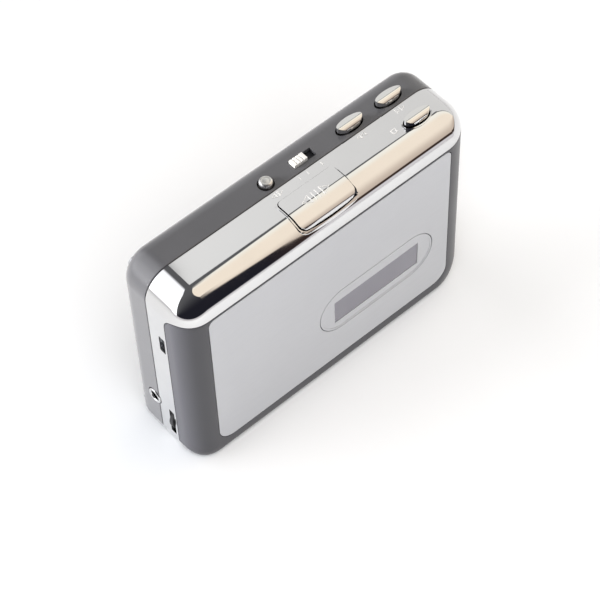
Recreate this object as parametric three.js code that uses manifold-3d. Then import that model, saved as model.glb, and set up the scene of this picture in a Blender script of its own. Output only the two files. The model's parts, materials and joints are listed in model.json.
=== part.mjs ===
// A pocket cassette player: an auto-reverse tape deck in a two-tone case, with a cassette door
// hinged along its bottom edge, four deck keys, a direction button, a mode switch and a volume wheel.
// Millimetres. X runs along the case, -Y is the door side, +Z is up towards the keys.
// The origin is the middle of the bottom face.
import * as THREE from "three";
import { mergeVertices } from "three/addons/utils/BufferGeometryUtils.js";
import Module from "manifold-3d";

const wasm = await Module();
wasm.setup();

// ---------------------------------------------------------------- driving dimensions
const WIDTH = 115;
const DEPTH = 31;
const HEIGHT = 78.5;
const WALL = 1.3;
const GAP = 0.3;
const FRONT_Y = -DEPTH / 2;
const REAR_Y = DEPTH / 2;
const SEAM_Y = 3.3; // the rear housing starts here
const STEPS = 6; // straight steps in each quarter of a case corner

// Radii of the round edges between the front or rear face and the case's four sides.
const FRONT_EDGE = { left: 8, right: 12.4, top: 8.8, bottom: 3.2 };
const REAR_EDGE = { left: 5.5, right: 5.5, top: 4.8, bottom: 4.8 };
// Radii of the four corners seen from the front, and the least that each keeps where the case draws in.
const CORNER = { rightTop: 9.4, leftTop: 9.4, leftBottom: 4, rightBottom: 8.8 };
const LEAST_CORNER = { rightTop: 0.5, leftTop: 0.5, leftBottom: 3, rightBottom: 5 };

// Door
const DOOR_REAR_Y = -4.95;
const DOOR_TOP_Z = 70.45;
const DOOR_TOP_CORNER = 6;
const HINGE = { y: -12.3, z: 3.2, inner: 44, outer: 49.2, pin: 0.9, bore: 1 };
const PANEL = { x0: -49.2, x1: 46.4, z0: 6.1, z1: 69.6, top: 2.4, bottom: 5.8, recess: 0.8 };
const LENS = { x: 16, z: 30, width: 47.4, height: 19.2 };
const WINDOW = { x: 16, z: 29.6, width: 34.9, height: 10.3 };

// Tape deck
const TAPE_X = -1.8; // middle of the cassette
const REEL = { offset: 21.25, z: 33.5 };
const CAPSTAN = { offset: 30.2, z: 63.8, radius: 1, tip: -12.6 };
const DECK = { front: -1.7, rear: -0.8, x0: -46.5, x1: 49.3, z0: 6, z1: 74.6 };
const FLYWHEEL = { radius: 12, y0: 0.4, y1: 3.4 };
const MOTOR = { x: -32, z: 36, radius: 11, y0: 3.9, y1: 13.4, pulley: 3 };
const IDLER = { x: 46, z: 50, radius: 2.5 };
const BELT = { y0: 1.2, y1: 2.4, thickness: 0.8, slack: 0.15 };
const PINCH = { offset: 30.2, z: 72.6, radius: 3.1, y0: -10.6, y1: -4.6, pivotOffset: 19.2, pivotZ: 71 };

// Keys
const PLAY = { x0: -10.9, x1: 10.7, y0: -13.6, y1: -1.3, proud: 0.6, travel: 2.5 };
const KEY = { length: 9.6, width: 4.4, top: 80.9, shoulder: 79.6 };
const STOP = { x: 41.9, y: -4.7 };
const FAST_FORWARD = { x: 25.1, y: 6.9 };
const REWIND = { x: 40.8, y: 6.9 };
const DIRECTION = { x: -8, y: 6.8, radius: 2.2, top: 80.3 };
const MODE = { x0: 2.2, x1: 7.3, y0: 5.5, y1: 8.3, top: 79.4, slotEnd: 10.6 };

// Left side
const VOLUME = { x: -52.3, z: 11.7, radius: 6, y0: -3.4, y1: -1.9, slot: 5.8 };
const USB = { y: -2.7, z: 53.3, height: 7, width: 2.6 };
const JACK = { y: 5.2, z: 17.7, ring: 2.8, bore: 1.75 };

// Battery bay
const BAY = { x0: -5.5, x1: 50, y0: -0.1, z0: 4.6, z1: 34.4, wall: 1 };
const COVER = { x0: -6.2, z1: 35.9, y0: 9.8 };

const CASE_SCREWS = [
  { name: "case_screw_top_left", x: -52.3, z: 73.3 },
  { name: "case_screw_top_right", x: 52.3, z: 73.3 },
  { name: "case_screw_bottom_left", x: -54, z: 5.2 },
  { name: "case_screw_right", x: 54, z: 40.5 },
];
const DECK_SCREWS = [
  { name: "deck_screw_left", x: -43.8, z: 47 },
  { name: "deck_screw_right", x: 46, z: 42 },
  { name: "deck_screw_bottom", x: -40, z: 12 },
];

// ---------------------------------------------------------------- materials
function material(colour, roughness, metalness, opacity = 1) {
  const made = new THREE.MeshStandardMaterial({ color: colour, roughness, metalness });
  made.transparent = opacity < 1;
  made.opacity = opacity;
  return made;
}
const CHROME = material(0xd9d9d6, 0.06, 1);
const SATIN_METAL = material(0xb9bbc0, 0.3, 1);
const STEEL = material(0x9c9ea2, 0.35, 1);
const BRASS = material(0xb8914a, 0.3, 1);
const COPPER = material(0xb06a3c, 0.3, 1);
const CASE_GREY = material(0x5b5b5e, 0.35, 0.1);
const DOOR_GREY = material(0x69686e, 0.35, 0.1);
const SILVER_PANEL = material(0xc9cbcf, 0.32, 0.6);
const SMOKED_LENS = material(0x8c8a94, 0.08, 0, 0.45);
const BLACK_PLASTIC = material(0x1d1d1f, 0.5, 0);
const WHITE_PLASTIC = material(0xdedcd4, 0.5, 0);
const RUBBER = material(0x161616, 0.8, 0);
const BOARD_GREEN = material(0x1f5a3a, 0.5, 0);

// ---------------------------------------------------------------- solids
function solid(geometry) {
  const bare = geometry.index ? geometry.toNonIndexed() : geometry.clone();
  bare.deleteAttribute("normal");
  bare.deleteAttribute("uv");
  const merged = mergeVertices(bare, 1e-4);
  const mesh = new wasm.Mesh({
    numProp: 3,
    vertProperties: new Float32Array(merged.attributes.position.array),
    triVerts: new Uint32Array(merged.index.array),
  });
  return new wasm.Manifold(mesh);
}

function union(first, ...rest) {
  return rest.reduce((whole, piece) => whole.add(piece), first);
}

function cut(first, ...rest) {
  return rest.reduce((whole, piece) => whole.subtract(piece), first);
}

function box(x0, x1, y0, y1, z0, z1) {
  const geometry = new THREE.BoxGeometry(x1 - x0, y1 - y0, z1 - z0);
  return solid(geometry.translate((x0 + x1) / 2, (y0 + y1) / 2, (z0 + z1) / 2));
}

function rodX(radius, x0, x1, y, z, sides = 24) {
  const geometry = new THREE.CylinderGeometry(radius, radius, x1 - x0, sides);
  return solid(geometry.rotateZ(Math.PI / 2).translate((x0 + x1) / 2, y, z));
}

function rodY(radius, y0, y1, x, z, sides = 24) {
  const geometry = new THREE.CylinderGeometry(radius, radius, y1 - y0, sides);
  return solid(geometry.translate(x, (y0 + y1) / 2, z));
}

function rodZ(radius, z0, z1, x, y, sides = 24) {
  const geometry = new THREE.CylinderGeometry(radius, radius, z1 - z0, sides);
  return solid(geometry.rotateX(Math.PI / 2).translate(x, y, (z0 + z1) / 2));
}

// A flat shape drawn in X and Z, given thickness along Y.
function plateY(shape, y0, y1, curveSegments = 8) {
  const settings = { depth: y1 - y0, bevelEnabled: false, curveSegments };
  return solid(new THREE.ExtrudeGeometry(shape, settings).rotateX(Math.PI / 2).translate(0, y1, 0));
}

// A flat shape drawn in X and Y, given thickness along Z.
function plateZ(shape, z0, z1, curveSegments = 8) {
  const settings = { depth: z1 - z0, bevelEnabled: false, curveSegments };
  return solid(new THREE.ExtrudeGeometry(shape, settings).translate(0, 0, z0));
}

// A flat shape drawn in Y and Z, given thickness along X.
function plateX(shape, x0, x1, curveSegments = 8) {
  const settings = { depth: x1 - x0, bevelEnabled: false, curveSegments };
  const geometry = new THREE.ExtrudeGeometry(shape, settings);
  return solid(geometry.rotateX(Math.PI / 2).rotateZ(Math.PI / 2).translate(x0, 0, 0));
}

function roundedRectangle(x0, x1, y0, y1, low, high = low) {
  const shape = new THREE.Shape();
  shape.moveTo(x0 + low, y0);
  shape.lineTo(x1 - low, y0);
  shape.absarc(x1 - low, y0 + low, low, -Math.PI / 2, 0);
  shape.lineTo(x1, y1 - high);
  shape.absarc(x1 - high, y1 - high, high, 0, Math.PI / 2);
  shape.lineTo(x0 + high, y1);
  shape.absarc(x0 + high, y1 - high, high, Math.PI / 2, Math.PI);
  shape.lineTo(x0, y0 + low);
  shape.absarc(x0 + low, y0 + low, low, Math.PI, Math.PI * 1.5);
  return shape;
}

function stadium(x, z, width, height) {
  const round = height / 2;
  return roundedRectangle(x - width / 2, x + width / 2, z - round, z + round, round - 0.01);
}

function ellipse(x, y, length, width) {
  const shape = new THREE.Shape();
  shape.absellipse(x, y, length / 2, width / 2, 0, Math.PI * 2);
  return shape;
}

// A coil spring along Z, its ends on the two planes z0 and z1.
function coil(x, y, z0, z1, radius, wire, turns) {
  const points = [];
  const steps = turns * 10;
  for (let i = 0; i <= steps; i++) {
    const angle = (i / 10) * Math.PI * 2;
    const rise = z0 + wire + ((z1 - z0 - 2 * wire) * i) / steps;
    points.push(new THREE.Vector3(x + radius * Math.cos(angle), y + radius * Math.sin(angle), rise));
  }
  return wireAlong(points, wire, steps);
}

function wireAlong(points, wire, steps, sides = 5) {
  const section = new THREE.Shape();
  section.absarc(0, 0, wire, 0, Math.PI * 2);
  const curve = new THREE.CatmullRomCurve3(points);
  const settings = { extrudePath: curve, steps, curveSegments: sides, bevelEnabled: false };
  return solid(new THREE.ExtrudeGeometry(section, settings));
}

// ---------------------------------------------------------------- the case's outer form
function edgeInset(radius, distance) {
  const inside = Math.min(Math.max(distance, 0), radius);
  return radius - Math.sqrt(radius ** 2 - (radius - inside) ** 2);
}

// Seen from the front, one section of the case's form, drawn in by inset on every side.
function caseRing(y, inset) {
  const fromFront = y - FRONT_Y - inset;
  const fromRear = REAR_Y - inset - y;
  const drawIn = (side) =>
    inset + edgeInset(FRONT_EDGE[side] - inset, fromFront) + edgeInset(REAR_EDGE[side] - inset, fromRear);
  const left = drawIn("left");
  const right = drawIn("right");
  const top = drawIn("top");
  const bottom = drawIn("bottom");
  const corners = [
    { at: "rightTop", x: WIDTH / 2 - right, z: HEIGHT - top, side: right, level: top, sx: 1, sz: 1, turn: 0 },
    { at: "leftTop", x: -WIDTH / 2 + left, z: HEIGHT - top, side: left, level: top, sx: -1, sz: 1, turn: 1 },
    { at: "leftBottom", x: -WIDTH / 2 + left, z: bottom, side: left, level: bottom, sx: -1, sz: -1, turn: 2 },
    { at: "rightBottom", x: WIDTH / 2 - right, z: bottom, side: right, level: bottom, sx: 1, sz: -1, turn: 3 },
  ];
  return corners.flatMap(({ at, x, z, side, level, sx, sz, turn }) => {
    const least = Math.max(0.5, LEAST_CORNER[at] - inset);
    const across = Math.max(least, CORNER[at] - side);
    const up = Math.max(least, CORNER[at] - level);
    return Array.from({ length: STEPS + 1 }, (_, i) => {
      const angle = ((turn + i / STEPS) * Math.PI) / 2;
      return [x - sx * across + across * Math.cos(angle), y, z - sz * up + up * Math.sin(angle)];
    });
  });
}

// The closed form inside the case's skin: inset 0 is the outer surface.
function caseForm(inset = 0) {
  const deepest = FRONT_EDGE.right - inset;
  const roundest = REAR_EDGE.left - inset;
  const eighths = Array.from({ length: 8 }, (_, i) => 1 - Math.cos((i * Math.PI) / 14));
  const fifths = Array.from({ length: 5 }, (_, i) => 1 - Math.cos((i * Math.PI) / 8));
  const stations = [
    ...eighths.map((share) => FRONT_Y + inset + deepest * share),
    ...fifths.map((share) => REAR_Y - inset - roundest * share).reverse(),
  ];
  const rings = stations.map((y) => caseRing(y, inset));
  const perRing = rings[0].length;
  const positions = rings.flat(2);
  const indices = [];
  for (let ring = 0; ring + 1 < rings.length; ring++) {
    for (let i = 0; i < perRing; i++) {
      const a = ring * perRing + i;
      const b = ring * perRing + ((i + 1) % perRing);
      indices.push(a, a + perRing, b, b, a + perRing, b + perRing);
    }
  }
  const last = (rings.length - 1) * perRing;
  for (let i = 1; i + 1 < perRing; i++) {
    indices.push(0, i, i + 1, last, last + i + 1, last + i);
  }
  const geometry = new THREE.BufferGeometry();
  geometry.setAttribute("position", new THREE.Float32BufferAttribute(positions, 3));
  geometry.setIndex(indices);
  return solid(geometry);
}

const OUTER = caseForm();
const INNER = caseForm(WALL);

// The door's outline seen from the side, as a prism right across the case, grown by margin.
function doorPrism(margin, followsHinge) {
  const rear = DOOR_REAR_Y + margin;
  const top = DOOR_TOP_Z + margin;
  const round = DOOR_TOP_CORNER + margin;
  const sweep = rear - HINGE.y;
  const shape = new THREE.Shape();
  shape.moveTo(FRONT_Y - 5, -5);
  shape.lineTo(HINGE.y, -5);
  if (followsHinge) {
    shape.absarc(HINGE.y, HINGE.z, sweep, -Math.PI / 3, 0);
  } else {
    shape.lineTo(rear, -5);
  }
  shape.lineTo(rear, top - round);
  shape.absarc(rear - round, top - round, round, 0, Math.PI / 2);
  shape.lineTo(FRONT_Y - 5, top);
  return plateX(shape, -WIDTH, WIDTH);
}

// ---------------------------------------------------------------- the assembly
const player = new THREE.Group();

function add(name, made, look) {
  const { numProp, vertProperties, triVerts } = made.getMesh();
  if (numProp !== 3) throw new Error(name + " has more than positions");
  const geometry = new THREE.BufferGeometry();
  geometry.setAttribute("position", new THREE.Float32BufferAttribute(vertProperties, 3));
  geometry.setIndex(new THREE.Uint32BufferAttribute(triVerts, 1));
  geometry.computeVertexNormals();
  const mesh = new THREE.Mesh(geometry, look);
  mesh.name = name;
  player.add(mesh);
}

// ---------------------------------------------------------------- case
function keyHole(key, z0, z1) {
  return plateZ(ellipse(key.x, key.y, KEY.length + 0.8, KEY.width + 0.8), z0, z1, 10);
}

function rearHousing() {
  const half = OUTER.intersect(box(-WIDTH, WIDTH, SEAM_Y, REAR_Y + 5, -5, HEIGHT + 5));
  const shell = cut(half, INNER);
  const tray = box(BAY.x0 - BAY.wall, BAY.x1 + BAY.wall, BAY.y0 - 0.5, 14.6, BAY.z0 - BAY.wall, BAY.z1 + BAY.wall);
  const bay = box(BAY.x0, BAY.x1, BAY.y0, REAR_Y + 1, BAY.z0, BAY.z1);
  const coverSpace = box(COVER.x0, WIDTH, COVER.y0, REAR_Y + 5, -5, COVER.z1);
  const trayRim = box(BAY.x0 - BAY.wall, BAY.x1 + BAY.wall, COVER.y0 - 0.1, 13.9, BAY.z0 - BAY.wall, BAY.z1 + BAY.wall);
  const caseScrewPosts = CASE_SCREWS.map(({ x, z }) => rodY(3.2, SEAM_Y, 14.6, x, z, 16).intersect(OUTER));
  const deckPosts = DECK_SCREWS.map(({ x, z }) => rodY(2.4, DECK.rear + 0.1, 14.6, x, z, 16));
  const caseScrewHoles = CASE_SCREWS.map(({ x, z }) =>
    union(rodY(1.2, 0, 13, x, z, 16), rodY(2.2, 12.9, REAR_Y + 1, x, z, 16)),
  );
  const deckScrewHoles = DECK_SCREWS.map(({ x, z }) => rodY(0.9, -2, 6, x, z, 12));
  const solidParts = union(cut(shell, coverSpace), ...caseScrewPosts, ...deckPosts, tray.subtract(coverSpace), trayRim);
  return cut(
    solidParts,
    bay,
    ...caseScrewHoles,
    ...deckScrewHoles,
    keyHole(FAST_FORWARD, HEIGHT - 3, HEIGHT + 1),
    keyHole(REWIND, HEIGHT - 3, HEIGHT + 1),
    rodZ(DIRECTION.radius + 0.5, HEIGHT - 3, HEIGHT + 1, DIRECTION.x, DIRECTION.y),
    box(MODE.x0 - 0.3, MODE.slotEnd, MODE.y0 - 0.3, MODE.y1 + 0.3, HEIGHT - 3, HEIGHT + 1),
    rodX(JACK.ring + GAP, -WIDTH, -WIDTH / 2 + 3, JACK.y, JACK.z),
  );
}

// The outline of the play key from above, grown by margin: its front side bows out a little.
function playOutline(margin) {
  const x0 = PLAY.x0 - margin;
  const x1 = PLAY.x1 + margin;
  const y0 = PLAY.y0 - margin;
  const y1 = PLAY.y1 + margin;
  const round = 1.4 + margin;
  const shape = new THREE.Shape();
  shape.moveTo(x1, y0 + 2.2);
  shape.lineTo(x1, y1 - round);
  shape.absarc(x1 - round, y1 - round, round, 0, Math.PI / 2);
  shape.absarc(x0 + round, y1 - round, round, Math.PI / 2, Math.PI);
  shape.lineTo(x0, y0 + 2.2);
  shape.quadraticCurveTo(x0 + 0.2, y0 + 0.7, x0 + 2.4, y0 + 0.4);
  shape.quadraticCurveTo((x0 + x1) / 2, y0 - 0.4, x1 - 2.4, y0 + 0.4);
  shape.quadraticCurveTo(x1 - 0.2, y0 + 0.7, x1, y0 + 2.2);
  return shape;
}

// The chrome frame: the key deck and lip above the door, and the band between door and rear housing.
function frontFrame() {
  const half = OUTER.intersect(box(-WIDTH, WIDTH, FRONT_Y - 5, SEAM_Y - 0.15, -5, HEIGHT + 5));
  const shell = cut(half, INNER, doorPrism(0.15, false));
  const posts = CASE_SCREWS.map(({ x, z }) => rodY(2.5, -1, SEAM_Y - 0.15, x, z, 16).intersect(OUTER));
  const postHoles = CASE_SCREWS.map(({ x, z }) => rodY(1.1, 0.2, SEAM_Y + 1, x, z, 16));
  const springShelf = union(box(6.4, 14.5, -11.4, -7.8, 71.2, 72), box(11.4, 14.5, FRONT_Y + 0.8, -7.8, 71.2, 72));
  const ears = [-1, 1].map((side) => hingeEar(side));
  const earBores = [-1, 1].map((side) => rodX(HINGE.bore, side * 45 - 3, side * 45 + 3, HINGE.y, HINGE.z));
  return cut(
    union(shell, ...posts, ...ears, springShelf.intersect(OUTER)),
    ...postHoles,
    ...earBores,
    plateZ(playOutline(GAP), 72.2, HEIGHT + 5, 6),
    keyHole(STOP, HEIGHT - 3, HEIGHT + 1),
    box(-WIDTH, -WIDTH / 2 + 2, VOLUME.y0 - 0.5, VOLUME.y1 + 0.4, VOLUME.z - VOLUME.slot, VOLUME.z + VOLUME.slot),
    box(-WIDTH, -WIDTH / 2 + 3, USB.y - USB.width / 2, USB.y + USB.width / 2, USB.z - USB.height / 2, USB.z + USB.height / 2),
    rodX(JACK.ring + GAP, -WIDTH, -WIDTH / 2 + 3, JACK.y, JACK.z),
  );
}

// An arm of the frame that reaches forward to carry a hinge pin, on the side given by its sign.
function hingeEar(side) {
  const low = side * HINGE.inner;
  const high = side * (HINGE.inner + 2);
  const round = rodX(2.3, Math.min(low, high), Math.max(low, high), HINGE.y, HINGE.z);
  const arm = box(Math.min(low, high), Math.max(low, high), HINGE.y, -3.4, HINGE.z - 1.7, HINGE.z + 2);
  const foot = box(Math.min(low, high), Math.max(low, high), -4.6, -3.4, WALL - 0.5, HINGE.z + 2);
  return union(round, arm, foot);
}

// ---------------------------------------------------------------- door
function doorFrame() {
  const skin = cut(OUTER.intersect(doorPrism(-0.15, true)), INNER);
  const recess = plateY(panelOutline(0.2), FRONT_Y - 1, FRONT_Y + PANEL.recess);
  const { x, z, width, height } = WINDOW;
  const window = box(x - width / 2, x + width / 2, FRONT_Y - 1, FRONT_Y + 3, z - height / 2, z + height / 2);
  const lugs = [-1, 1].map((side) => hingeLug(side));
  const notches = [-1, 1].map((side) => hingeNotch(side));
  const bores = [-1, 1].map((side) => rodX(HINGE.bore, side * 47.8 - 3.4, side * 47.8 + 3.4, HINGE.y, HINGE.z));
  return cut(union(skin, ...lugs), recess, window, ...notches, ...bores);
}

function hingeLug(side) {
  const low = side * (HINGE.inner + 2.4);
  const high = side * HINGE.outer;
  const [x0, x1] = [Math.min(low, high), Math.max(low, high)];
  const block = box(x0, x1, FRONT_Y + 0.6, HINGE.y + 2.1, 0.6, HINGE.z + 2.1);
  return block.intersect(OUTER);
}

// Room in the door's bottom wall for an ear, through the door's whole swing.
function hingeNotch(side) {
  const low = side * (HINGE.inner - 0.4);
  const high = side * (HINGE.inner + 2.4);
  const [x0, x1] = [Math.min(low, high), Math.max(low, high)];
  const around = rodX(2.75, x0, x1, HINGE.y, HINGE.z);
  const behind = box(x0, x1, HINGE.y, 0, -2, HINGE.z + 3);
  return union(around, behind);
}

function panelOutline(margin) {
  const { x0, x1, z0, z1, top, bottom } = PANEL;
  return roundedRectangle(x0 - margin, x1 + margin, z0 - margin, z1 + margin, bottom, top);
}

function doorPanel() {
  const sheet = plateY(panelOutline(0), FRONT_Y - 1, FRONT_Y + PANEL.recess - 0.1).intersect(OUTER);
  return sheet.subtract(plateY(stadium(LENS.x, LENS.z, LENS.width, LENS.height), FRONT_Y - 2, 0));
}

function doorWindow() {
  const outline = stadium(LENS.x, LENS.z, LENS.width - 0.3, LENS.height - 0.3);
  return plateY(outline, FRONT_Y + 0.05, FRONT_Y + PANEL.recess - 0.1);
}

// The pocket on the door's inner face: a web, a shelf under the cassette and a channel at each end.
function cassetteHolder() {
  const channel = new THREE.Shape();
  const points = [
    [-53.3, -2.9], [-50.3, -2.9], [-50.3, -3.5], [-52.6, -3.5], [-52.6, -12.4], [-46.5, -13.3],
    [43.5, -13.3], [49.1, -12.4], [49.1, -3.5], [46.8, -3.5], [46.8, -2.9], [49.8, -2.9],
    [49.8, -12.8], [44, -13.9], [-46.5, -13.9], [-53.3, -12.8],
  ];
  points.forEach(([x, y], i) => (i ? channel.lineTo(x, y) : channel.moveTo(x, y)));
  const web = box(-42.5, 42.5, -13.9, -13.3, 3.8, 22);
  const shelf = box(-42.5, 42.5, -13.9, -3.2, 3.8, 4.5);
  const view = box(-3.5, 35.5, -15, -13, 22.5, 36.7);
  return cut(union(plateZ(channel, 20.5, 46), web, shelf), view);
}

// A bowed leaf between the web and the cassette, which presses the cassette against the deck.
function leafSpring(x) {
  const half = 9;
  const shape = new THREE.Shape();
  shape.moveTo(x - half, -13.2);
  shape.quadraticCurveTo(x, -11.6, x + half, -13.2);
  shape.lineTo(x + half, -12.9);
  shape.quadraticCurveTo(x, -11.3, x - half, -12.9);
  return plateZ(shape, 11, 16, 6);
}

function hingePin(side) {
  const low = side * (HINGE.inner - 0.6);
  const high = side * (HINGE.outer - 0.1);
  return rodX(HINGE.pin, Math.min(low, high), Math.max(low, high), HINGE.y, HINGE.z, 16);
}

// ---------------------------------------------------------------- keys
// An oval cap with a ridge along it, on a flange and a stem.
function ovalKey(key, flangeZ, stemZ) {
  const body = plateZ(ellipse(key.x, key.y, KEY.length, KEY.width), flangeZ, KEY.top, 10);
  const roof = new THREE.Shape();
  const half = KEY.width / 2 + 1;
  roof.moveTo(key.y - half, flangeZ - 1);
  roof.lineTo(key.y + half, flangeZ - 1);
  roof.lineTo(key.y + half, KEY.shoulder - 0.4);
  roof.lineTo(key.y, KEY.top);
  roof.lineTo(key.y - half, KEY.shoulder - 0.4);
  const cap = body.intersect(plateX(roof, key.x - KEY.length, key.x + KEY.length));
  const flange = box(key.x - 5.6, key.x + 5.6, key.y - 2.4, key.y + 2.4, flangeZ - 0.8, flangeZ + 0.2);
  return stemZ < flangeZ ? union(cap, flange, rodZ(1, stemZ, flangeZ, key.x, key.y, 12)) : union(cap, flange);
}

function playKey() {
  const prism = plateZ(playOutline(0), 71, HEIGHT + 5, 6);
  const shell = cut(caseForm(-PLAY.proud).intersect(prism), caseForm(1));
  const pusher = box(-6, 2.4, -2.9, -2.1, 75.8, 77.8);
  const springSeat = rodZ(1.3, 75.9, 77.6, 8.3, -9.6, 12);
  return union(shell, pusher, springSeat);
}

function directionButton() {
  const profile = [
    [0, 73.2], [1.3, 73.2], [1.3, 75.6], [2.9, 75.6], [2.9, 76.4], [DIRECTION.radius, 76.4],
    [DIRECTION.radius, 79.7], [1.9, 80.1], [1.2, DIRECTION.top], [0, DIRECTION.top],
  ].map(([radius, height]) => new THREE.Vector2(radius, height));
  const turned = new THREE.LatheGeometry(profile, 24).rotateX(Math.PI / 2);
  return solid(turned.translate(DIRECTION.x, DIRECTION.y, 0));
}

function modeKnob() {
  const slab = box(MODE.x0, MODE.x1, MODE.y0, MODE.y1, HEIGHT - 0.9, MODE.top);
  const neck = box(MODE.x0 + 1.4, MODE.x1 - 1.4, MODE.y0 + 0.7, MODE.y1 - 0.7, 75.2, HEIGHT - 0.8);
  const grooves = [0, 1, 2, 3].map((i) => {
    const x = MODE.x0 + 0.75 + i * 1.05;
    return box(x, x + 0.45, MODE.y0 - 1, MODE.y1 + 1, MODE.top - 0.35, MODE.top + 1);
  });
  return cut(union(slab, neck), ...grooves);
}

// ---------------------------------------------------------------- controls on the left side
function volumeWheel() {
  const teeth = 30;
  const rim = new THREE.Shape();
  for (let i = 0; i < teeth * 2; i++) {
    const angle = (i * Math.PI) / teeth;
    const radius = VOLUME.radius - (i % 2) * 0.35;
    const point = [VOLUME.x + radius * Math.cos(angle), VOLUME.z + radius * Math.sin(angle)];
    if (i) rim.lineTo(...point);
    else rim.moveTo(...point);
  }
  const disc = plateY(rim, VOLUME.y0, VOLUME.y1 - 0.1);
  return disc.subtract(rodY(1.1, -10, 10, VOLUME.x, VOLUME.z, 16));
}

function volumePot() {
  const can = rodY(3.6, VOLUME.y1 + 0.1, 1.6, VOLUME.x, VOLUME.z, 20);
  const shaft = rodY(0.8, VOLUME.y0 - 0.2, VOLUME.y1 + 0.2, VOLUME.x, VOLUME.z, 12);
  const legs = [-1.8, 0, 1.8].map((dx) => box(VOLUME.x + 2.6, VOLUME.x + 6.4, 0.4, 0.9, VOLUME.z + dx - 0.3, VOLUME.z + dx + 0.3));
  return union(can, shaft, ...legs);
}

function headphoneJack() {
  const body = box(-55.8, -45, JACK.y - 3, JACK.y + 3, JACK.z - 3, JACK.z + 3);
  const sleeve = rodX(JACK.ring, -WIDTH / 2 - 0.4, -55, JACK.y, JACK.z);
  return union(body, sleeve).subtract(rodX(JACK.bore, -WIDTH, -46.5, JACK.y, JACK.z));
}

function usbSocket() {
  const shell = box(-57, -49, USB.y - 1.6, USB.y + 1.6, USB.z - 3.9, USB.z + 3.9);
  const mouth = box(-60, -50, USB.y - 1.2, USB.y + 1.2, USB.z - 3.4, USB.z + 3.4);
  const tongue = box(-56, -49.6, USB.y - 0.4, USB.y + 0.4, USB.z - 2.6, USB.z + 2.6);
  return union(cut(shell.intersect(INNER), mouth), tongue);
}

// ---------------------------------------------------------------- deck
function deckPlate() {
  const sheet = box(DECK.x0, DECK.x1, DECK.front, DECK.rear, DECK.z0, DECK.z1);
  const pins = [-1, 1].map((side) => rodY(1, -10, DECK.front + 0.2, TAPE_X + side * REEL.offset, REEL.z, 12));
  const pivots = [-1, 1].map((side) =>
    rodY(1, -5, DECK.front + 0.2, TAPE_X + side * PINCH.pivotOffset, PINCH.pivotZ, 12),
  );
  const idlerStud = rodY(1, DECK.rear - 0.2, 3.6, IDLER.x, IDLER.z, 12);
  const stopTab = box(38.2, 45.6, -8, DECK.front + 0.2, 71, 71.8);
  const motorLegs = [[-42, 28], [-22, 28], [-42, 42]].map(([x, z]) => rodY(1.4, DECK.rear - 0.2, 2.8, x, z, 12));
  const bearingHoles = [-1, 1].map((side) => rodY(2.5, -3, 1, TAPE_X + side * CAPSTAN.offset, CAPSTAN.z, 20));
  const screwHoles = DECK_SCREWS.map(({ x, z }) => rodY(1.2, -3, 1, x, z, 12));
  const volumeNotch = box(-60, -45.2, -3, 1, 0, 22);
  return cut(
    union(sheet, ...pins, ...pivots, idlerStud, stopTab, ...motorLegs),
    ...bearingHoles,
    ...screwHoles,
    volumeNotch,
  );
}

function reelSpindle(side) {
  const x = TAPE_X + side * REEL.offset;
  const profile = [
    [1.3, -2], [8.6, -2], [8.6, -2.8], [2.9, -2.9], [2.9, -9.4], [1.9, -10.6], [1.3, -10.6], [1.3, -2],
  ].map(([radius, y]) => new THREE.Vector2(radius, y));
  const hub = solid(new THREE.LatheGeometry(profile.reverse(), 24).translate(x, 0, REEL.z));
  const fins = [0, 1, 2].map((i) => {
    const fin = new THREE.BoxGeometry(1.9, 6, 1).translate(3.2, -5.8, 0);
    return solid(fin.rotateY((i * Math.PI * 2) / 3).translate(x, 0, REEL.z));
  });
  return union(hub, ...fins);
}

function capstan(side) {
  return rodY(CAPSTAN.radius, CAPSTAN.tip, FLYWHEEL.y1 + 1, TAPE_X + side * CAPSTAN.offset, CAPSTAN.z, 16);
}

function capstanBearing(side) {
  const x = TAPE_X + side * CAPSTAN.offset;
  const bush = union(rodY(2.3, -3.4, 0.1, x, CAPSTAN.z, 20), rodY(3.4, -2.6, DECK.front - 0.1, x, CAPSTAN.z, 20));
  return bush.subtract(rodY(1.15, -6, 3, x, CAPSTAN.z, 20));
}

function flywheel(side) {
  const x = TAPE_X + side * CAPSTAN.offset;
  const disc = rodY(FLYWHEEL.radius, FLYWHEEL.y0, FLYWHEEL.y1, x, CAPSTAN.z, 40);
  const dish = cut(rodY(10.6, 2.2, 6, x, CAPSTAN.z, 32), rodY(3.2, 0, 8, x, CAPSTAN.z, 20));
  return cut(disc, dish, rodY(1.15, -3, 9, x, CAPSTAN.z, 16));
}

function motorPulley() {
  return rodY(MOTOR.pulley, FLYWHEEL.y0, FLYWHEEL.y1 - 0.2, MOTOR.x, MOTOR.z, 24).subtract(
    rodY(0.95, -3, 9, MOTOR.x, MOTOR.z, 12),
  );
}

function motorBody() {
  const can = rodY(MOTOR.radius, MOTOR.y0, MOTOR.y1, MOTOR.x, MOTOR.z, 36);
  const shaft = rodY(0.75, FLYWHEEL.y0 + 0.2, MOTOR.y0 + 0.5, MOTOR.x, MOTOR.z, 12);
  const terminals = [-1, 1].map((side) => box(MOTOR.x + side * 5 - 0.8, MOTOR.x + side * 5 + 0.8, 13.3, 14, 27.5, 29));
  return union(can, shaft, ...terminals);
}

function motorMount() {
  const sheet = plateY(roundedRectangle(-44, -20, 25.6, 44.2, 2), 2.95, 3.65);
  return sheet.subtract(rodY(4, 0, 9, MOTOR.x, MOTOR.z, 24));
}

function idlerPulley() {
  return rodY(IDLER.radius, FLYWHEEL.y0, FLYWHEEL.y1 - 0.2, IDLER.x, IDLER.z, 20).subtract(
    rodY(1.15, -3, 9, IDLER.x, IDLER.z, 16),
  );
}

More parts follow.
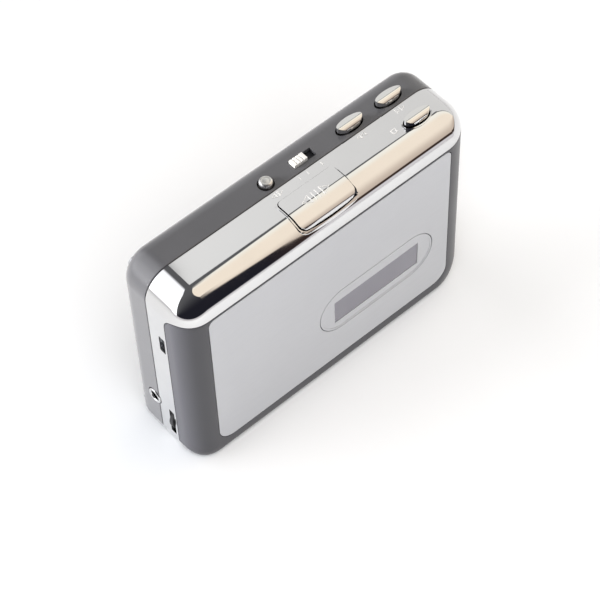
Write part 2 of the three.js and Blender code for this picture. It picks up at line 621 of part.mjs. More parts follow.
// A flat belt round the motor pulley, the left flywheel and the idler. Its back runs on the right flywheel.
function driveBelt() {
  const left = { x: TAPE_X - CAPSTAN.offset, z: CAPSTAN.z, radius: FLYWHEEL.radius, way: 1 };
  const right = { x: TAPE_X + CAPSTAN.offset, z: CAPSTAN.z, radius: FLYWHEEL.radius, way: -1 };
  const idler = { ...IDLER, way: 1 };
  const pulley = { x: MOTOR.x, z: MOTOR.z, radius: MOTOR.pulley, way: 1 };
  const wheels = [left, right, idler, pulley];
  const outer = beltLoop(wheels, BELT.slack + BELT.thickness);
  const inner = beltLoop(wheels, BELT.slack);
  return plateY(outer, BELT.y0, BELT.y1, 10).subtract(plateY(inner, BELT.y0 - 1, BELT.y1 + 1, 10));
}

// A closed clockwise loop of tangents and arcs that stays margin outside each wheel inside it,
// and as much nearer a wheel that it passes on the outside.
function beltLoop(wheels, margin) {
  const circles = wheels.map(({ x, z, radius, way }) => {
    const reach = way > 0 ? radius + margin : radius + 2 * BELT.slack + BELT.thickness - margin;
    return { x, z, reach: reach * way };
  });
  const spans = circles.map((from, i) => {
    const to = circles[(i + 1) % circles.length];
    const distance = Math.hypot(to.x - from.x, to.z - from.z);
    const heading = Math.atan2(to.z - from.z, to.x - from.x);
    const normal = heading + Math.acos((from.reach - to.reach) / distance);
    return { normal, from, to };
  });
  const shape = new THREE.Shape();
  spans.forEach(({ normal, from, to }, i) => {
    const start = [from.x + from.reach * Math.cos(normal), from.z + from.reach * Math.sin(normal)];
    if (i) shape.lineTo(...start);
    else shape.moveTo(...start);
    const next = spans[(i + 1) % spans.length].normal;
    const flip = to.reach < 0 ? Math.PI : 0;
    shape.absarc(to.x, to.z, Math.abs(to.reach), normal + flip, next + flip, to.reach > 0);
  });
  return shape;
}

function headPlate() {
  const sheet = box(TAPE_X - 15, TAPE_X + 15, -2.9, -2.1, 69.8, 75.5);
  const step = box(TAPE_X - 7, TAPE_X + 7, -3.9, -2.8, 72.4, 75.2);
  return union(sheet, step);
}

function tapeHead() {
  const can = box(TAPE_X - 6, TAPE_X + 6, -11.8, -4, 71.2, 75.1);
  const face = rodY(4.6, -11.8, -4, TAPE_X, 74.3, 28);
  const room = box(TAPE_X - 6, TAPE_X + 6, -14, -3, 69.6, 75.1);
  return union(can, face.intersect(room));
}

function pinchArm(side) {
  const pivotX = TAPE_X + side * PINCH.pivotOffset;
  const rollerX = TAPE_X + side * PINCH.offset;
  const hub = rodY(2.2, -4.5, -2.1, pivotX, PINCH.pivotZ, 16);
  const angle = Math.atan2(PINCH.z - PINCH.pivotZ, side * (PINCH.offset - PINCH.pivotOffset));
  const reach = Math.hypot(PINCH.z - PINCH.pivotZ, PINCH.offset - PINCH.pivotOffset);
  const bar = new THREE.BoxGeometry(reach, 0.9, 3).translate(reach / 2, 0, 0).rotateY(-angle);
  const arm = solid(bar.translate(pivotX, -3.95, PINCH.pivotZ));
  const end = rodY(1.5, -4.4, -3.5, rollerX, PINCH.z, 16);
  const pin = rodY(0.75, PINCH.y0 - 0.3, -3.6, rollerX, PINCH.z, 12);
  return cut(union(hub, arm, end, pin), rodY(1.15, -9, 0, pivotX, PINCH.pivotZ, 16));
}

function pinchRoller(side) {
  const x = TAPE_X + side * PINCH.offset;
  return rodY(PINCH.radius, PINCH.y0, PINCH.y1, x, PINCH.z, 28).subtract(rodY(0.95, -20, 0, x, PINCH.z, 16));
}

// ---------------------------------------------------------------- boards, switches, guides
function mainBoard() {
  const sheet = box(-48.8, 14, 10.8, 12, 50.5, 72);
  const chips = [[-46, -36, 60, 68], [-28, -21, 56, 63], [-14, -4, 53, 60]].map(([x0, x1, z0, z1]) =>
    box(x0, x1, 9.2, 10.9, z0, z1),
  );
  return union(sheet, ...chips);
}

function sideBoard() {
  return box(-55.6, -47.6, -0.9, 0.3, 44, 62);
}

function modeSwitchBody() {
  const body = box(0, 12.8, 4.6, 9.2, 69.5, 75);
  return body.subtract(box(MODE.x0 + 1, MODE.slotEnd, MODE.y0 + 0.3, MODE.y1 - 0.3, 73.2, 76));
}

function directionSwitch() {
  const body = box(DIRECTION.x - 3, DIRECTION.x + 3, DIRECTION.y - 3, DIRECTION.y + 3, 68.6, 71.6);
  return union(body, rodZ(1.5, 71.5, 72, DIRECTION.x, DIRECTION.y, 16));
}

function keyGuide() {
  const sheet = box(17.5, 48.5, 4.3, 13.9, 66.4, 67.4);
  const holes = [FAST_FORWARD, REWIND].map(({ x, y }) => rodZ(1.3, 60, 70, x, y, 16));
  return cut(sheet, ...holes);
}

// ---------------------------------------------------------------- battery bay
function batteryCover() {
  const skin = cut(OUTER, INNER);
  const space = box(COVER.x0 + GAP, WIDTH, COVER.y0 + GAP, REAR_Y + 5, -5, COVER.z1 - GAP);
  const trayRoom = box(BAY.x0 - 2, BAY.x1 + 1.5, 0, 14.2, BAY.z0 - 1.5, COVER.z1);
  const ribs = [0, 1, 2, 3, 4].map((i) => box(44 - i * 1.6, 44.7 - i * 1.6, REAR_Y - 0.3, REAR_Y + 1, 13, 26));
  return cut(skin.intersect(space), trayRoom, ...ribs);
}

// A cone of wire and its plate, at one end of a cell.
function contactSpring(x0, way, z) {
  const points = [];
  const y = 7.2;
  for (let i = 0; i <= 30; i++) {
    const angle = (i / 10) * Math.PI * 2;
    const radius = 3.6 - (i / 30) * 1.8;
    points.push(new THREE.Vector3(x0 + way * (0.5 + i / 8.5), y + radius * Math.cos(angle), z + radius * Math.sin(angle)));
  }
  return wireAlong(points, 0.4, 30);
}

function contactPlate(x0, way, z0, z1) {
  const [low, high] = [Math.min(x0, x0 + way * 0.5), Math.max(x0, x0 + way * 0.5)];
  return box(low, high, 2.2, 12.2, z0, z1);
}

function buildCase() {
  add("rear_housing", rearHousing(), CASE_GREY);
  add("front_frame", frontFrame(), CHROME);
  add("battery_cover", batteryCover(), CASE_GREY);
  CASE_SCREWS.forEach(({ name, x, z }) => {
    const screw = union(rodY(1.9, 13.1, 14.5, x, z, 16), rodY(0.9, 0.6, 13.2, x, z, 12));
    add(name, screw.subtract(box(x - 1.2, x + 1.2, 14, 16, z - 0.2, z + 0.2)), STEEL);
  });
}

function buildDoor() {
  add("door_frame", doorFrame(), DOOR_GREY);
  add("door_panel", doorPanel(), SILVER_PANEL);
  add("door_window", doorWindow(), SMOKED_LENS);
  add("cassette_holder", cassetteHolder(), BLACK_PLASTIC);
  add("cassette_spring_left", leafSpring(-26), STEEL);
  add("cassette_spring_right", leafSpring(22), STEEL);
  add("hinge_pin_left", hingePin(-1), STEEL);
  add("hinge_pin_right", hingePin(1), STEEL);
}

function buildKeys() {
  add("play_button", playKey(), CHROME);
  add("stop_button", ovalKey(STOP, 76.5, 76.5), CHROME);
  add("fast_forward_button", ovalKey(FAST_FORWARD, 75.5, 64), CHROME);
  add("rewind_button", ovalKey(REWIND, 75.5, 64), CHROME);
  add("direction_button", directionButton(), CHROME);
  add("mode_switch_knob", modeKnob(), SATIN_METAL);
  add("play_spring", coil(8.3, -9.6, 72.1, 75.8, 1.2, 0.2, 3), STEEL);
  add("stop_spring", coil(STOP.x, STOP.y, 71.9, 75.6, 1.9, 0.22, 3), STEEL);
  add("fast_forward_spring", coil(FAST_FORWARD.x, FAST_FORWARD.y, 67.5, 74.6, 1.8, 0.25, 4), STEEL);
  add("rewind_spring", coil(REWIND.x, REWIND.y, 67.5, 74.6, 1.8, 0.25, 4), STEEL);
  add("key_guide", keyGuide(), BLACK_PLASTIC);
}

function buildElectronics() {
  add("volume_wheel", volumeWheel(), BLACK_PLASTIC);
  add("volume_control", volumePot(), STEEL);
  add("headphone_jack", headphoneJack(), CHROME);
  add("usb_socket", usbSocket(), STEEL);
  add("main_board", mainBoard(), BOARD_GREEN);
  add("side_board", sideBoard(), BOARD_GREEN);
  add("mode_switch_body", modeSwitchBody(), BLACK_PLASTIC);
  add("direction_switch", directionSwitch(), BLACK_PLASTIC);
}

function buildDeck() {
  add("deck_plate", deckPlate(), STEEL);
  DECK_SCREWS.forEach(({ name, x, z }) => {
    add(name, union(rodY(1.8, -2.5, DECK.front - 0.1, x, z, 16), rodY(0.7, -2, 4, x, z, 12)), STEEL);
  });
  [["left", -1], ["right", 1]].forEach(([at, side]) => {
    add("capstan_" + at, capstan(side), SATIN_METAL);
    add("capstan_bearing_" + at, capstanBearing(side), BRASS);
    add("flywheel_" + at, flywheel(side), BRASS);
    add("pinch_arm_" + at, pinchArm(side), STEEL);
    add("pinch_roller_" + at, pinchRoller(side), RUBBER);
  });
  add("supply_spindle", reelSpindle(-1), WHITE_PLASTIC);
  add("take_up_spindle", reelSpindle(1), WHITE_PLASTIC);
  add("head_plate", headPlate(), STEEL);
  add("tape_head", tapeHead(), SATIN_METAL);
  add("motor_body", motorBody(), STEEL);
  add("motor_mount", motorMount(), STEEL);
  add("motor_pulley", motorPulley(), BRASS);
  add("idler_pulley", idlerPulley(), WHITE_PLASTIC);
  add("drive_belt", driveBelt(), RUBBER);
}

function buildBatteryContacts() {
  const lower = BAY.z0 + 7.4;
  const upper = BAY.z1 - 7.4;
  const left = BAY.x0 + 0.1;
  const right = BAY.x1 - 0.1;
  add("battery_spring_contact", union(contactPlate(left, 1, lower - 5, lower + 5), contactSpring(left, 1, lower)), COPPER);
  add("battery_plate_contact", contactPlate(left, 1, upper - 5, upper + 5), COPPER);
  add("battery_link_contact", union(contactPlate(right, -1, lower - 5, upper + 5), contactSpring(right, -1, upper)), COPPER);
}

buildCase();
buildDoor();
buildKeys();
buildElectronics();
buildDeck();
buildBatteryContacts();

export default player;
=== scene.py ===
"""A pocket cassette player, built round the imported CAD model.

The case, door, keys and other outer pieces are made here. The deck and the rest of the inside are the CAD
model's own solids, with materials.
"""

import json
import math

import bmesh
import bpy
import numpy as np
from mathutils import Matrix, Vector


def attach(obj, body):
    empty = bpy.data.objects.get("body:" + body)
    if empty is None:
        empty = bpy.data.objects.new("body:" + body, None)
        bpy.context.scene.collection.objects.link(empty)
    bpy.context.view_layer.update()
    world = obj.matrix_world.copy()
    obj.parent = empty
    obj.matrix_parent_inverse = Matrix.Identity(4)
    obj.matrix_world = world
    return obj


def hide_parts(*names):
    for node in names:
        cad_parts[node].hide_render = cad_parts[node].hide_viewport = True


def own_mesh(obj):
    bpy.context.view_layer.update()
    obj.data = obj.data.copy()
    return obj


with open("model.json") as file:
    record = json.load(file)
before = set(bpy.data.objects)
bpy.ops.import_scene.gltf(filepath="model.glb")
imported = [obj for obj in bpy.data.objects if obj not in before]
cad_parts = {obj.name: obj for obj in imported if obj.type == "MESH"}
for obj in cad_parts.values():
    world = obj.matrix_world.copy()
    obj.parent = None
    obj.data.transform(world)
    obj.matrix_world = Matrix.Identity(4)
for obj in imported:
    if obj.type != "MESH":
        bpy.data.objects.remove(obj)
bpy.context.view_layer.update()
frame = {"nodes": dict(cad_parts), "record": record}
MM = 0.001

# ---------------------------------------- driving dimensions, in millimetres
WIDTH = 115
DEPTH = 31
HEIGHT = 78.5
WALL = 1.3
FRONT_Y = -DEPTH / 2
REAR_Y = DEPTH / 2
LEFT_X = -WIDTH / 2
TOP_CUT = (HEIGHT - 3, HEIGHT + 1)  # from well inside the top wall to just above it
SEAM_Y = 3.3
SEAM_ROUND = 0.3
FRONT_EDGE = {"left": 8, "right": 12.4, "top": 8.8, "bottom": 3.2}
REAR_EDGE = {"left": 5.5, "right": 5.5, "top": 4.8, "bottom": 4.8}
# The four corners seen from the front: their radii, and the least that each keeps where the case draws in.
CORNER = {"rt": 9.4, "lt": 9.4, "lb": 4, "rb": 8.8}
LEAST_CORNER = {"rt": 0.5, "lt": 0.5, "lb": 3, "rb": 5}
DOOR_REAR_Y = -4.95
DOOR_TOP_Z = 70.45
DOOR_TOP_CORNER = 6
HINGE_Y = -12.3
HINGE_Z = 3.2
HINGE_BORE = 1
EAR = {"low": 44, "high": 46, "radius": 2.3, "room": 0.4}
LUG = {"low": 46.4, "high": 49.2, "reach": 2.1}
PANEL = {"x0": -49.2, "x1": 46.4, "z0": 6.1, "z1": 69.6, "top": 2.4, "bottom": 5.8}
LENS = {"x": 16, "z": 30, "width": 47.4, "height": 19.2, "gap": 0.25, "rim": 0.75}
WINDOW = {"x": 16, "z": 29.6, "width": 34.9, "height": 10.3}
PLAY = {"x0": -10.9, "x1": 10.7, "y0": -13.3, "y1": -1.3, "proud": 0.65, "room": 0.3, "travel": 2.5}
PLAY_LIP = {"fold": 29, "roll": 4}  # degrees of the case's own curve, then the lip's radius
PLAY_SPRING = (8.3, -9.6)
PLAY_RIM = {"width": 0.5, "proud": 0.2}
STOP_RIM = {"width": 0.45, "proud": 0.16}
KEY = {"length": 9.6, "width": 4.4, "top": 80.9, "room": 0.8, "travel": 2.4}
CROWN = {"front_drop": 3, "rear_drop": 1.15, "power": 3}
KEY_FOOT = {"length": 11.2, "width": 4.8, "depth": 0.8, "stem": 1}
STOP = (41.9, -4.7)
FAST_FORWARD = (25.1, 6.9)
REWIND = (40.8, 6.9)
DIRECTION = (-8, 6.8, 2.2)
MODE = {"x0": 2.2, "x1": 7.3, "y0": 5.5, "y1": 8.3, "top": 79.4, "slot_end": 10.6, "room": 0.3}
SHUTTER = (0.9, 13.2, 5, 8.8, 76, 76.5)
VOLUME = {"x": -52.3, "z": 11.7, "radius": 6, "y0": -3.4, "y1": -1.9, "bore": 1.1, "slot": 5.8}
USB = {"y": -2.7, "z": 53.3, "height": 7, "width": 2.6}
JACK = {"y": 5.2, "z": 17.7, "ring": 2.8, "bore": 1.75}
BAY = {"x0": -5.5, "x1": 50, "y0": -0.1, "z0": 4.6, "z1": 34.4, "wall": 1}
COVER = {"x0": -6.2, "z1": 35.9, "y0": 9.8, "room": 0.3}
GRIP = {"x": 44, "pitch": 1.6, "width": 0.7, "z0": 13, "z1": 26, "depth": 0.3, "count": 5}
CASE_SCREWS = [(-52.3, 73.3), (52.3, 73.3), (-54, 5.2), (54, 40.5)]
CASE_POST = {"radius": 3.2, "rear": 14.6, "bore": 1.2, "head": 2.2, "head_y": 12.9}
FRONT_POST = {"radius": 2.5, "front": -1, "bore": 1.1}
DECK_SCREWS = [(-43.8, 47), (46, 42), (-40, 12)]
DECK_POST = {"radius": 2.4, "front": -0.7, "bore": 0.9}


# ---------------------------------------- solids
def put(name, mesh):
    made = bpy.data.objects.new(name, mesh)
    bpy.context.scene.collection.objects.link(made)
    return made


def from_bmesh(work, name="solid"):
    bmesh.ops.recalc_face_normals(work, faces=work.faces)
    mesh = bpy.data.meshes.new(name)
    work.to_mesh(mesh)
    work.free()
    return put(name, mesh)


# Which axis a flat outline is pushed along, and how its two numbers and the depth make a point.
PLACE = {
    "x": lambda a, b, depth: (depth, a, b),
    "y": lambda a, b, depth: (a, depth, b),
    "z": lambda a, b, depth: (a, b, depth),
}


def prism(outline, axis, low, high):
    """A closed outline, given thickness along an axis. Its points are in the other two axes' order."""
    work = bmesh.new()
    ends = [[work.verts.new(Vector(PLACE[axis](a, b, d)) * MM) for a, b in outline] for d in (low, high)]
    count = len(outline)
    for i in range(count):
        j = (i + 1) % count
        work.faces.new((ends[0][i], ends[0][j], ends[1][j], ends[1][i]))
    for end in ends:
        work.faces.new(end)
    return from_bmesh(work)


def box(x0, x1, y0, y1, z0, z1):
    return prism([(x0, y0), (x1, y0), (x1, y1), (x0, y1)], "z", z0, z1)


def circle(a, b, radius, sides=48):
    turns = [2 * math.pi * i / sides for i in range(sides)]
    return [(a + radius * math.cos(t), b + radius * math.sin(t)) for t in turns]


def ellipse(a, b, length, width, sides=64):
    turns = [2 * math.pi * i / sides for i in range(sides)]
    return [(a + length / 2 * math.cos(t), b + width / 2 * math.sin(t)) for t in turns]


def rod(axis, low, high, a, b, radius, sides=48):
    return prism(circle(a, b, radius, sides), axis, low, high)


def arc(a, b, radius, start, end, steps=12):
    """Points on an arc, its angles in degrees."""
    turns = np.radians(np.linspace(start, end, steps + 1))
    return [(a + radius * math.cos(t), b + radius * math.sin(t)) for t in turns]


def bow(start, pull, end, steps=10):
    """Points on a curve from start to end that bends towards pull."""
    found = []
    for i in range(steps + 1):
        t = i / steps
        weights = ((1 - t) ** 2, 2 * t * (1 - t), t**2)
        found.append(tuple(sum(w * p[k] for w, p in zip(weights, (start, pull, end))) for k in (0, 1)))
    return found


def rounded(x0, x1, z0, z1, low, high=None):
    """A rectangle with one radius for its lower corners and perhaps another for its upper ones."""
    high = low if high is None else high
    return (
        arc(x1 - low, z0 + low, low, -90, 0)
        + arc(x1 - high, z1 - high, high, 0, 90)
        + arc(x0 + high, z1 - high, high, 90, 180)
        + arc(x0 + low, z0 + low, low, 180, 270)
    )


def stadium(x, z, width, height, steps=24):
    reach = width / 2 - height / 2
    right = arc(x + reach, z, height / 2, -90, 90, steps)
    return right + arc(x - reach, z, height / 2, 90, 270, steps)


def turned(profile, axis, a, b, sides=64):
    """A profile of (radius, distance along the axis) points, turned round the axis through a, b."""
    work = bmesh.new()
    rings = []
    for radius, depth in profile:
        points = [(a, b)] if radius == 0 else circle(a, b, radius, sides)
        rings.append([work.verts.new(Vector(PLACE[axis](p, q, depth)) * MM) for p, q in points])
    for here, there in zip(rings, rings[1:]):
        for i in range(sides):
            j = (i + 1) % sides
            corners = [here[i % len(here)], here[j % len(here)], there[j % len(there)], there[i % len(there)]]
            distinct = list(dict.fromkeys(corners))
            if len(distinct) > 2:
                work.faces.new(distinct)
    return from_bmesh(work)


def combine(first, operation, others):
    """Adds, cuts or intersects solids, and leaves one object."""
    for other in others:
        step = first.modifiers.new("combine", "BOOLEAN")
        step.operation = operation
        step.object = other
        step.solver = "MANIFOLD"
    settle(first)
    for other in others:
        drop(other)
    return first


def settle(piece):
    """Applies every modifier on a piece to its mesh."""
    bpy.context.view_layer.update()
    evaluated = piece.evaluated_get(bpy.context.evaluated_depsgraph_get())
    mesh = bpy.data.meshes.new_from_object(evaluated)
    piece.modifiers.clear()
    piece.data = mesh


def drop(piece):
    mesh = piece.data
    bpy.data.objects.remove(piece)
    bpy.data.meshes.remove(mesh)


def union(first, *others):
    return combine(first, "UNION", others)


def cut(first, *others):
    return combine(first, "DIFFERENCE", others)


def common(first, *others):
    return combine(first, "INTERSECT", others)


def soften(piece, width, segments=3, angle=35):
    """Rounds a piece's sharp edges and shades it smooth."""
    bevel = piece.modifiers.new("bevel", "BEVEL")
    bevel.width = width * MM
    bevel.segments = segments
    bevel.limit_method = "ANGLE"
    bevel.angle_limit = math.radians(angle)
    bevel.harden_normals = False
    settle(piece)
    piece.data.shade_smooth()
    weights = piece.modifiers.new("weights", "WEIGHTED_NORMAL")
    weights.keep_sharp = True
    settle(piece)
    return piece


def both_ends(low, high):
    """The same stretch of X at the left end and at the right end."""
    return ((-high, -low), (low, high))


# ---------------------------------------- the case's form
def edge_inset(radius, distance):
    inside = np.clip(distance, 0, radius)
    return radius - np.sqrt(np.maximum(radius**2 - (radius - inside) ** 2, 0))


class Form:
    """The case's form, drawn in by inset all round, between two depths with small rounded ends."""

    def __init__(self, inset=0.0, front=-100.0, rear=100.0, front_round=0.0, rear_round=0.0):
        self.inset = inset
        self.front = max(front, FRONT_Y + inset)
        self.rear = min(rear, REAR_Y - inset)
        self.rounds = (front_round, rear_round)

    def sides(self, y):
        drawn = (
            self.inset
            + edge_inset(self.rounds[0], y - self.front)
            + edge_inset(self.rounds[1], self.rear - y)
        )
        found = {}
        for side in FRONT_EDGE:
            from_front = edge_inset(FRONT_EDGE[side] - self.inset, y - FRONT_Y - self.inset)
            from_rear = edge_inset(REAR_EDGE[side] - self.inset, REAR_Y - self.inset - y)
            found[side] = drawn + from_front + from_rear
        return found

    def corners(self, y):
        """Each corner: its centre, its two radii and its two directions."""
        s = self.sides(y)
        places = (
            ("rt", "right", "top", 1, 1),
            ("lt", "left", "top", -1, 1),
            ("lb", "left", "bottom", -1, -1),
            ("rb", "right", "bottom", 1, -1),
        )
        for key, side, level, sx, sz in places:
            least = max(0.5, LEAST_CORNER[key] - self.inset)
            across = np.maximum(least, CORNER[key] - s[side])
            up = np.maximum(least, CORNER[key] - s[level])
            x = sx * (WIDTH / 2 - s[side] - across)
            z = HEIGHT - s[level] - up if sz > 0 else s[level] + up
            yield x, z, across, up, sx, sz

    def ring(self, y, steps):
        points = []
        for turn, (x, z, across, up, _, _) in enumerate(self.corners(y)):
            for i in range(steps + 1):
                angle = (turn + i / steps) * math.pi / 2
                points.append((x + across * math.cos(angle), z + up * math.sin(angle)))
        return points

    def depths(self):
        found = {self.front, self.rear}
        for i in range(1, 37):
            share = 1 - math.cos(math.radians(2.5 * i))
            found.add(FRONT_Y + self.inset + (FRONT_EDGE["right"] - self.inset) * share)
            found.add(REAR_Y - self.inset - (REAR_EDGE["left"] - self.inset) * share)
        for radius, start, way in ((self.rounds[0], self.front, 1), (self.rounds[1], self.rear, -1)):
            found.update(start + way * radius * (1 - math.cos(math.radians(t))) for t in (20, 40, 60, 75, 90))
        kept = []
        for y in sorted(y for y in found if self.front <= y <= self.rear):
            if not kept or y - kept[-1] > 0.004:
                kept.append(y)
        return kept

    def solid(self, steps=18):
        work = bmesh.new()
        rings = [
            [work.verts.new(Vector((x, y, z)) * MM) for x, z in self.ring(y, steps)] for y in self.depths()
        ]
        count = len(rings[0])
        for here, there in zip(rings, rings[1:]):
            for i in range(count):
                j = (i + 1) % count
                work.faces.new((here[i], there[i], there[j], here[j]))
        work.faces.new(rings[0])
        work.faces.new(rings[-1])
        return from_bmesh(work)

    def outside(self, p):
        """A smooth measure, nought on the form's surface, of how far out each point lies."""
        x, y, z = p.T
        s = self.sides(y)
        flat = np.stack(
            [
                x - (WIDTH / 2 - s["right"]),
                -(WIDTH / 2 - s["left"]) - x,
                z - (HEIGHT - s["top"]),
                s["bottom"] - z,
            ]
        ).max(0)
        for cx, cz, across, up, sx, sz in self.corners(y):
            dx = sx * (x - cx)
            dz = sz * (z - cz)
            inside = (dx > 0) & (dz > 0)
            reach = np.sqrt((dx / across) ** 2 + (dz / up) ** 2)
            flat = np.where(inside, (reach - 1) * (across + up) / 2, flat)
        return flat

    def normals(self, p):
        step = 0.002
        slope = np.stack(
            [self.outside(p + step * axis) - self.outside(p - step * axis) for axis in np.eye(3)], axis=1
        )
        return slope / np.maximum(np.linalg.norm(slope, axis=1, keepdims=True), 1e-12)


def shade_by_form(piece, *forms):
    """Gives every face on one of the forms that form's own normals, and every other face its flat one."""
    mesh = piece.data
    mesh.shade_smooth()
    corner_vertex = np.empty(len(mesh.loops), np.int32)
    mesh.loops.foreach_get("vertex_index", corner_vertex)
    points = np.empty(len(mesh.vertices) * 3)
    mesh.vertices.foreach_get("co", points)
    points = points.reshape(-1, 3)[corner_vertex] / MM
    sizes = np.empty(len(mesh.polygons), np.int32)
    mesh.polygons.foreach_get("loop_total", sizes)
    flat = np.empty(len(mesh.polygons) * 3)
    mesh.polygons.foreach_get("normal", flat)
    normals = np.repeat(flat.reshape(-1, 3), sizes, axis=0)
    starts = np.r_[0, np.cumsum(sizes)[:-1]]
    face_centres = np.add.reduceat(points, starts, axis=0) / sizes[:, None]
    centres = np.repeat(face_centres, sizes, axis=0)
    for form in forms:
        found = form.normals(points * 0.98 + centres * 0.02)
        agree = np.abs((found * normals).sum(1))
        near = np.abs(form.outside(points)) < 0.03
        use = near & (agree > 0.9)
        sign = np.sign((found * normals).sum(1))
        normals[use] = (found * sign[:, None])[use]
    mesh.normals_split_custom_set([tuple(n) for n in normals])
    return piece


def side_outline(margin, round_hinge):
    """The door seen from the side, grown by margin, as an outline in Y and Z."""
    rear = DOOR_REAR_Y + margin
    top = DOOR_TOP_Z + margin
    corner = DOOR_TOP_CORNER + margin
    sweep = rear - HINGE_Y
    foot = arc(HINGE_Y, HINGE_Z, sweep, -60, 0, 24) if round_hinge else [(rear, -5)]
    head = arc(rear - corner, top - corner, corner, 0, 90, 24)
    return [(FRONT_Y - 5, -5), (HINGE_Y, -5)] + foot + head + [(FRONT_Y - 5, top)]


def door_room(margin, round_hinge):
    return prism(side_outline(margin, round_hinge), "x", -WIDTH, WIDTH)


# ---------------------------------------- node materials
class Paint:
    """A Principled material and short ways to add nodes to it."""

    def __init__(self, name):
        self.material = bpy.data.materials.new(name)
        self.material.use_nodes = True
        self.nodes = self.material.node_tree.nodes
        self.links = self.material.node_tree.links
        self.shader = self.nodes["Principled BSDF"]
        self.place = self.nodes.new("ShaderNodeTexCoord").outputs["Object"]

    def set(self, **values):
        for name, value in values.items():
            self.shader.inputs[name.replace("_", " ")].default_value = value
        return self

    def scaled(self, scale):
        node = self.nodes.new("ShaderNodeMapping")
        node.inputs["Scale"].default_value = scale
        self.links.new(self.place, node.inputs["Vector"])
        return node.outputs["Vector"]

    def noise(self, scale, detail=3.0, stretch=(1, 1, 1)):
        node = self.nodes.new("ShaderNodeTexNoise")
        node.inputs["Scale"].default_value = scale
        node.inputs["Detail"].default_value = detail
        self.links.new(self.scaled(stretch), node.inputs["Vector"])
        return node.outputs["Fac"]

    def spread(self, value, low, high, start=0.3, end=0.7):
        """Maps a 0 to 1 value onto low to high."""
        node = self.nodes.new("ShaderNodeMapRange")
        node.inputs["From Min"].default_value = start
        node.inputs["From Max"].default_value = end
        node.inputs["To Min"].default_value = low
        node.inputs["To Max"].default_value = high
        self.links.new(value, node.inputs["Value"])
        return node.outputs["Result"]

    def colours(self, value, *stops):
        node = self.nodes.new("ShaderNodeValToRGB")
        ramp = node.color_ramp
        while len(ramp.elements) < len(stops):
            ramp.elements.new(0.5)
        for element, (at, colour) in zip(ramp.elements, stops):
            element.position = at
            element.color = (*colour, 1)
        self.links.new(value, node.inputs["Fac"])
        self.links.new(node.outputs["Color"], self.shader.inputs["Base Color"])
        return self

    def rough(self, value):
        self.links.new(value, self.shader.inputs["Roughness"])
        return self

    def bump(self, height, strength, distance):
        node = self.nodes.new("ShaderNodeBump")
        node.inputs["Strength"].default_value = strength
        node.inputs["Distance"].default_value = distance * MM
        self.links.new(height, node.inputs["Height"])
        self.links.new(node.outputs["Normal"], self.shader.inputs["Normal"])
        return self


def chrome(name, tint=(0.73, 0.73, 0.735), roughness=0.035):
    paint = Paint(name).set(Metallic=1.0)
    smudge = paint.noise(90, 4)
    low = tuple(0.96 * c for c in tint)
    paint.colours(smudge, (0.3, low), (0.7, tint))
    paint.rough(paint.spread(smudge, roughness * 0.7, roughness * 1.6))
    return paint.material


def satin_plastic(name, colour, roughness=0.34, coat=0.15, grain=0.03):
    """Sprayed plastic: fine grain, and a faint cloudiness of colour and gloss."""
    paint = Paint(name).set(Coat_Weight=coat, Coat_Roughness=0.18)
    cloud = paint.noise(35, 4)
    low = tuple(0.9 * c for c in colour)
    high = tuple(min(1.0, 1.08 * c) for c in colour)
    paint.colours(cloud, (0.3, low), (0.7, high))
    paint.rough(paint.spread(cloud, roughness * 0.9, roughness * 1.12))
    paint.bump(paint.noise(5200, 2), 0.25, grain)
    return paint.material


def silver_sheet(name):
    """Fine satin metal sheet, its grain along the case."""
    paint = Paint(name).set(Metallic=0.55, Coat_Weight=0.3, Coat_Roughness=0.12)
    grain = paint.noise(900, 3, (0.12, 1, 1))
    cloud = paint.noise(14, 2)
    paint.colours(cloud, (0.3, (0.535, 0.543, 0.568)), (0.7, (0.57, 0.578, 0.6)))
    paint.rough(paint.spread(grain, 0.34, 0.44))
    paint.bump(grain, 0.12, 0.02)
    return paint.material


def smoked_glass(name):
    paint = Paint(name).set(Roughness=0.08, Coat_Weight=0.6, Coat_Roughness=0.04, Alpha=0.8)
    haze = paint.noise(60, 2)
    paint.colours(haze, (0.3, (0.235, 0.228, 0.27)), (0.7, (0.265, 0.258, 0.3)))
    return paint.material


def brushed(name, colour, roughness=0.34, stretch=(0.08, 1, 1)):
    paint = Paint(name).set(Metallic=1.0)
    grain = paint.noise(1100, 4, stretch)
    low = tuple(0.82 * c for c in colour)
    paint.colours(grain, (0.3, low), (0.72, colour))
    paint.rough(paint.spread(grain, roughness * 0.8, roughness * 1.25))
    paint.bump(grain, 0.2, 0.02)
    return paint.material


def moulded(name, colour, roughness=0.45, grain=0.04):
    paint = Paint(name)
    cloud = paint.noise(80, 3)
    low = tuple(0.85 * c for c in colour)
    high = tuple(min(1.0, 1.12 * c) for c in colour)
    paint.colours(cloud, (0.3, low), (0.7, high))
    paint.rough(paint.spread(cloud, roughness * 0.88, roughness * 1.12))
    paint.bump(paint.noise(2600, 3), 0.3, grain)
    return paint.material


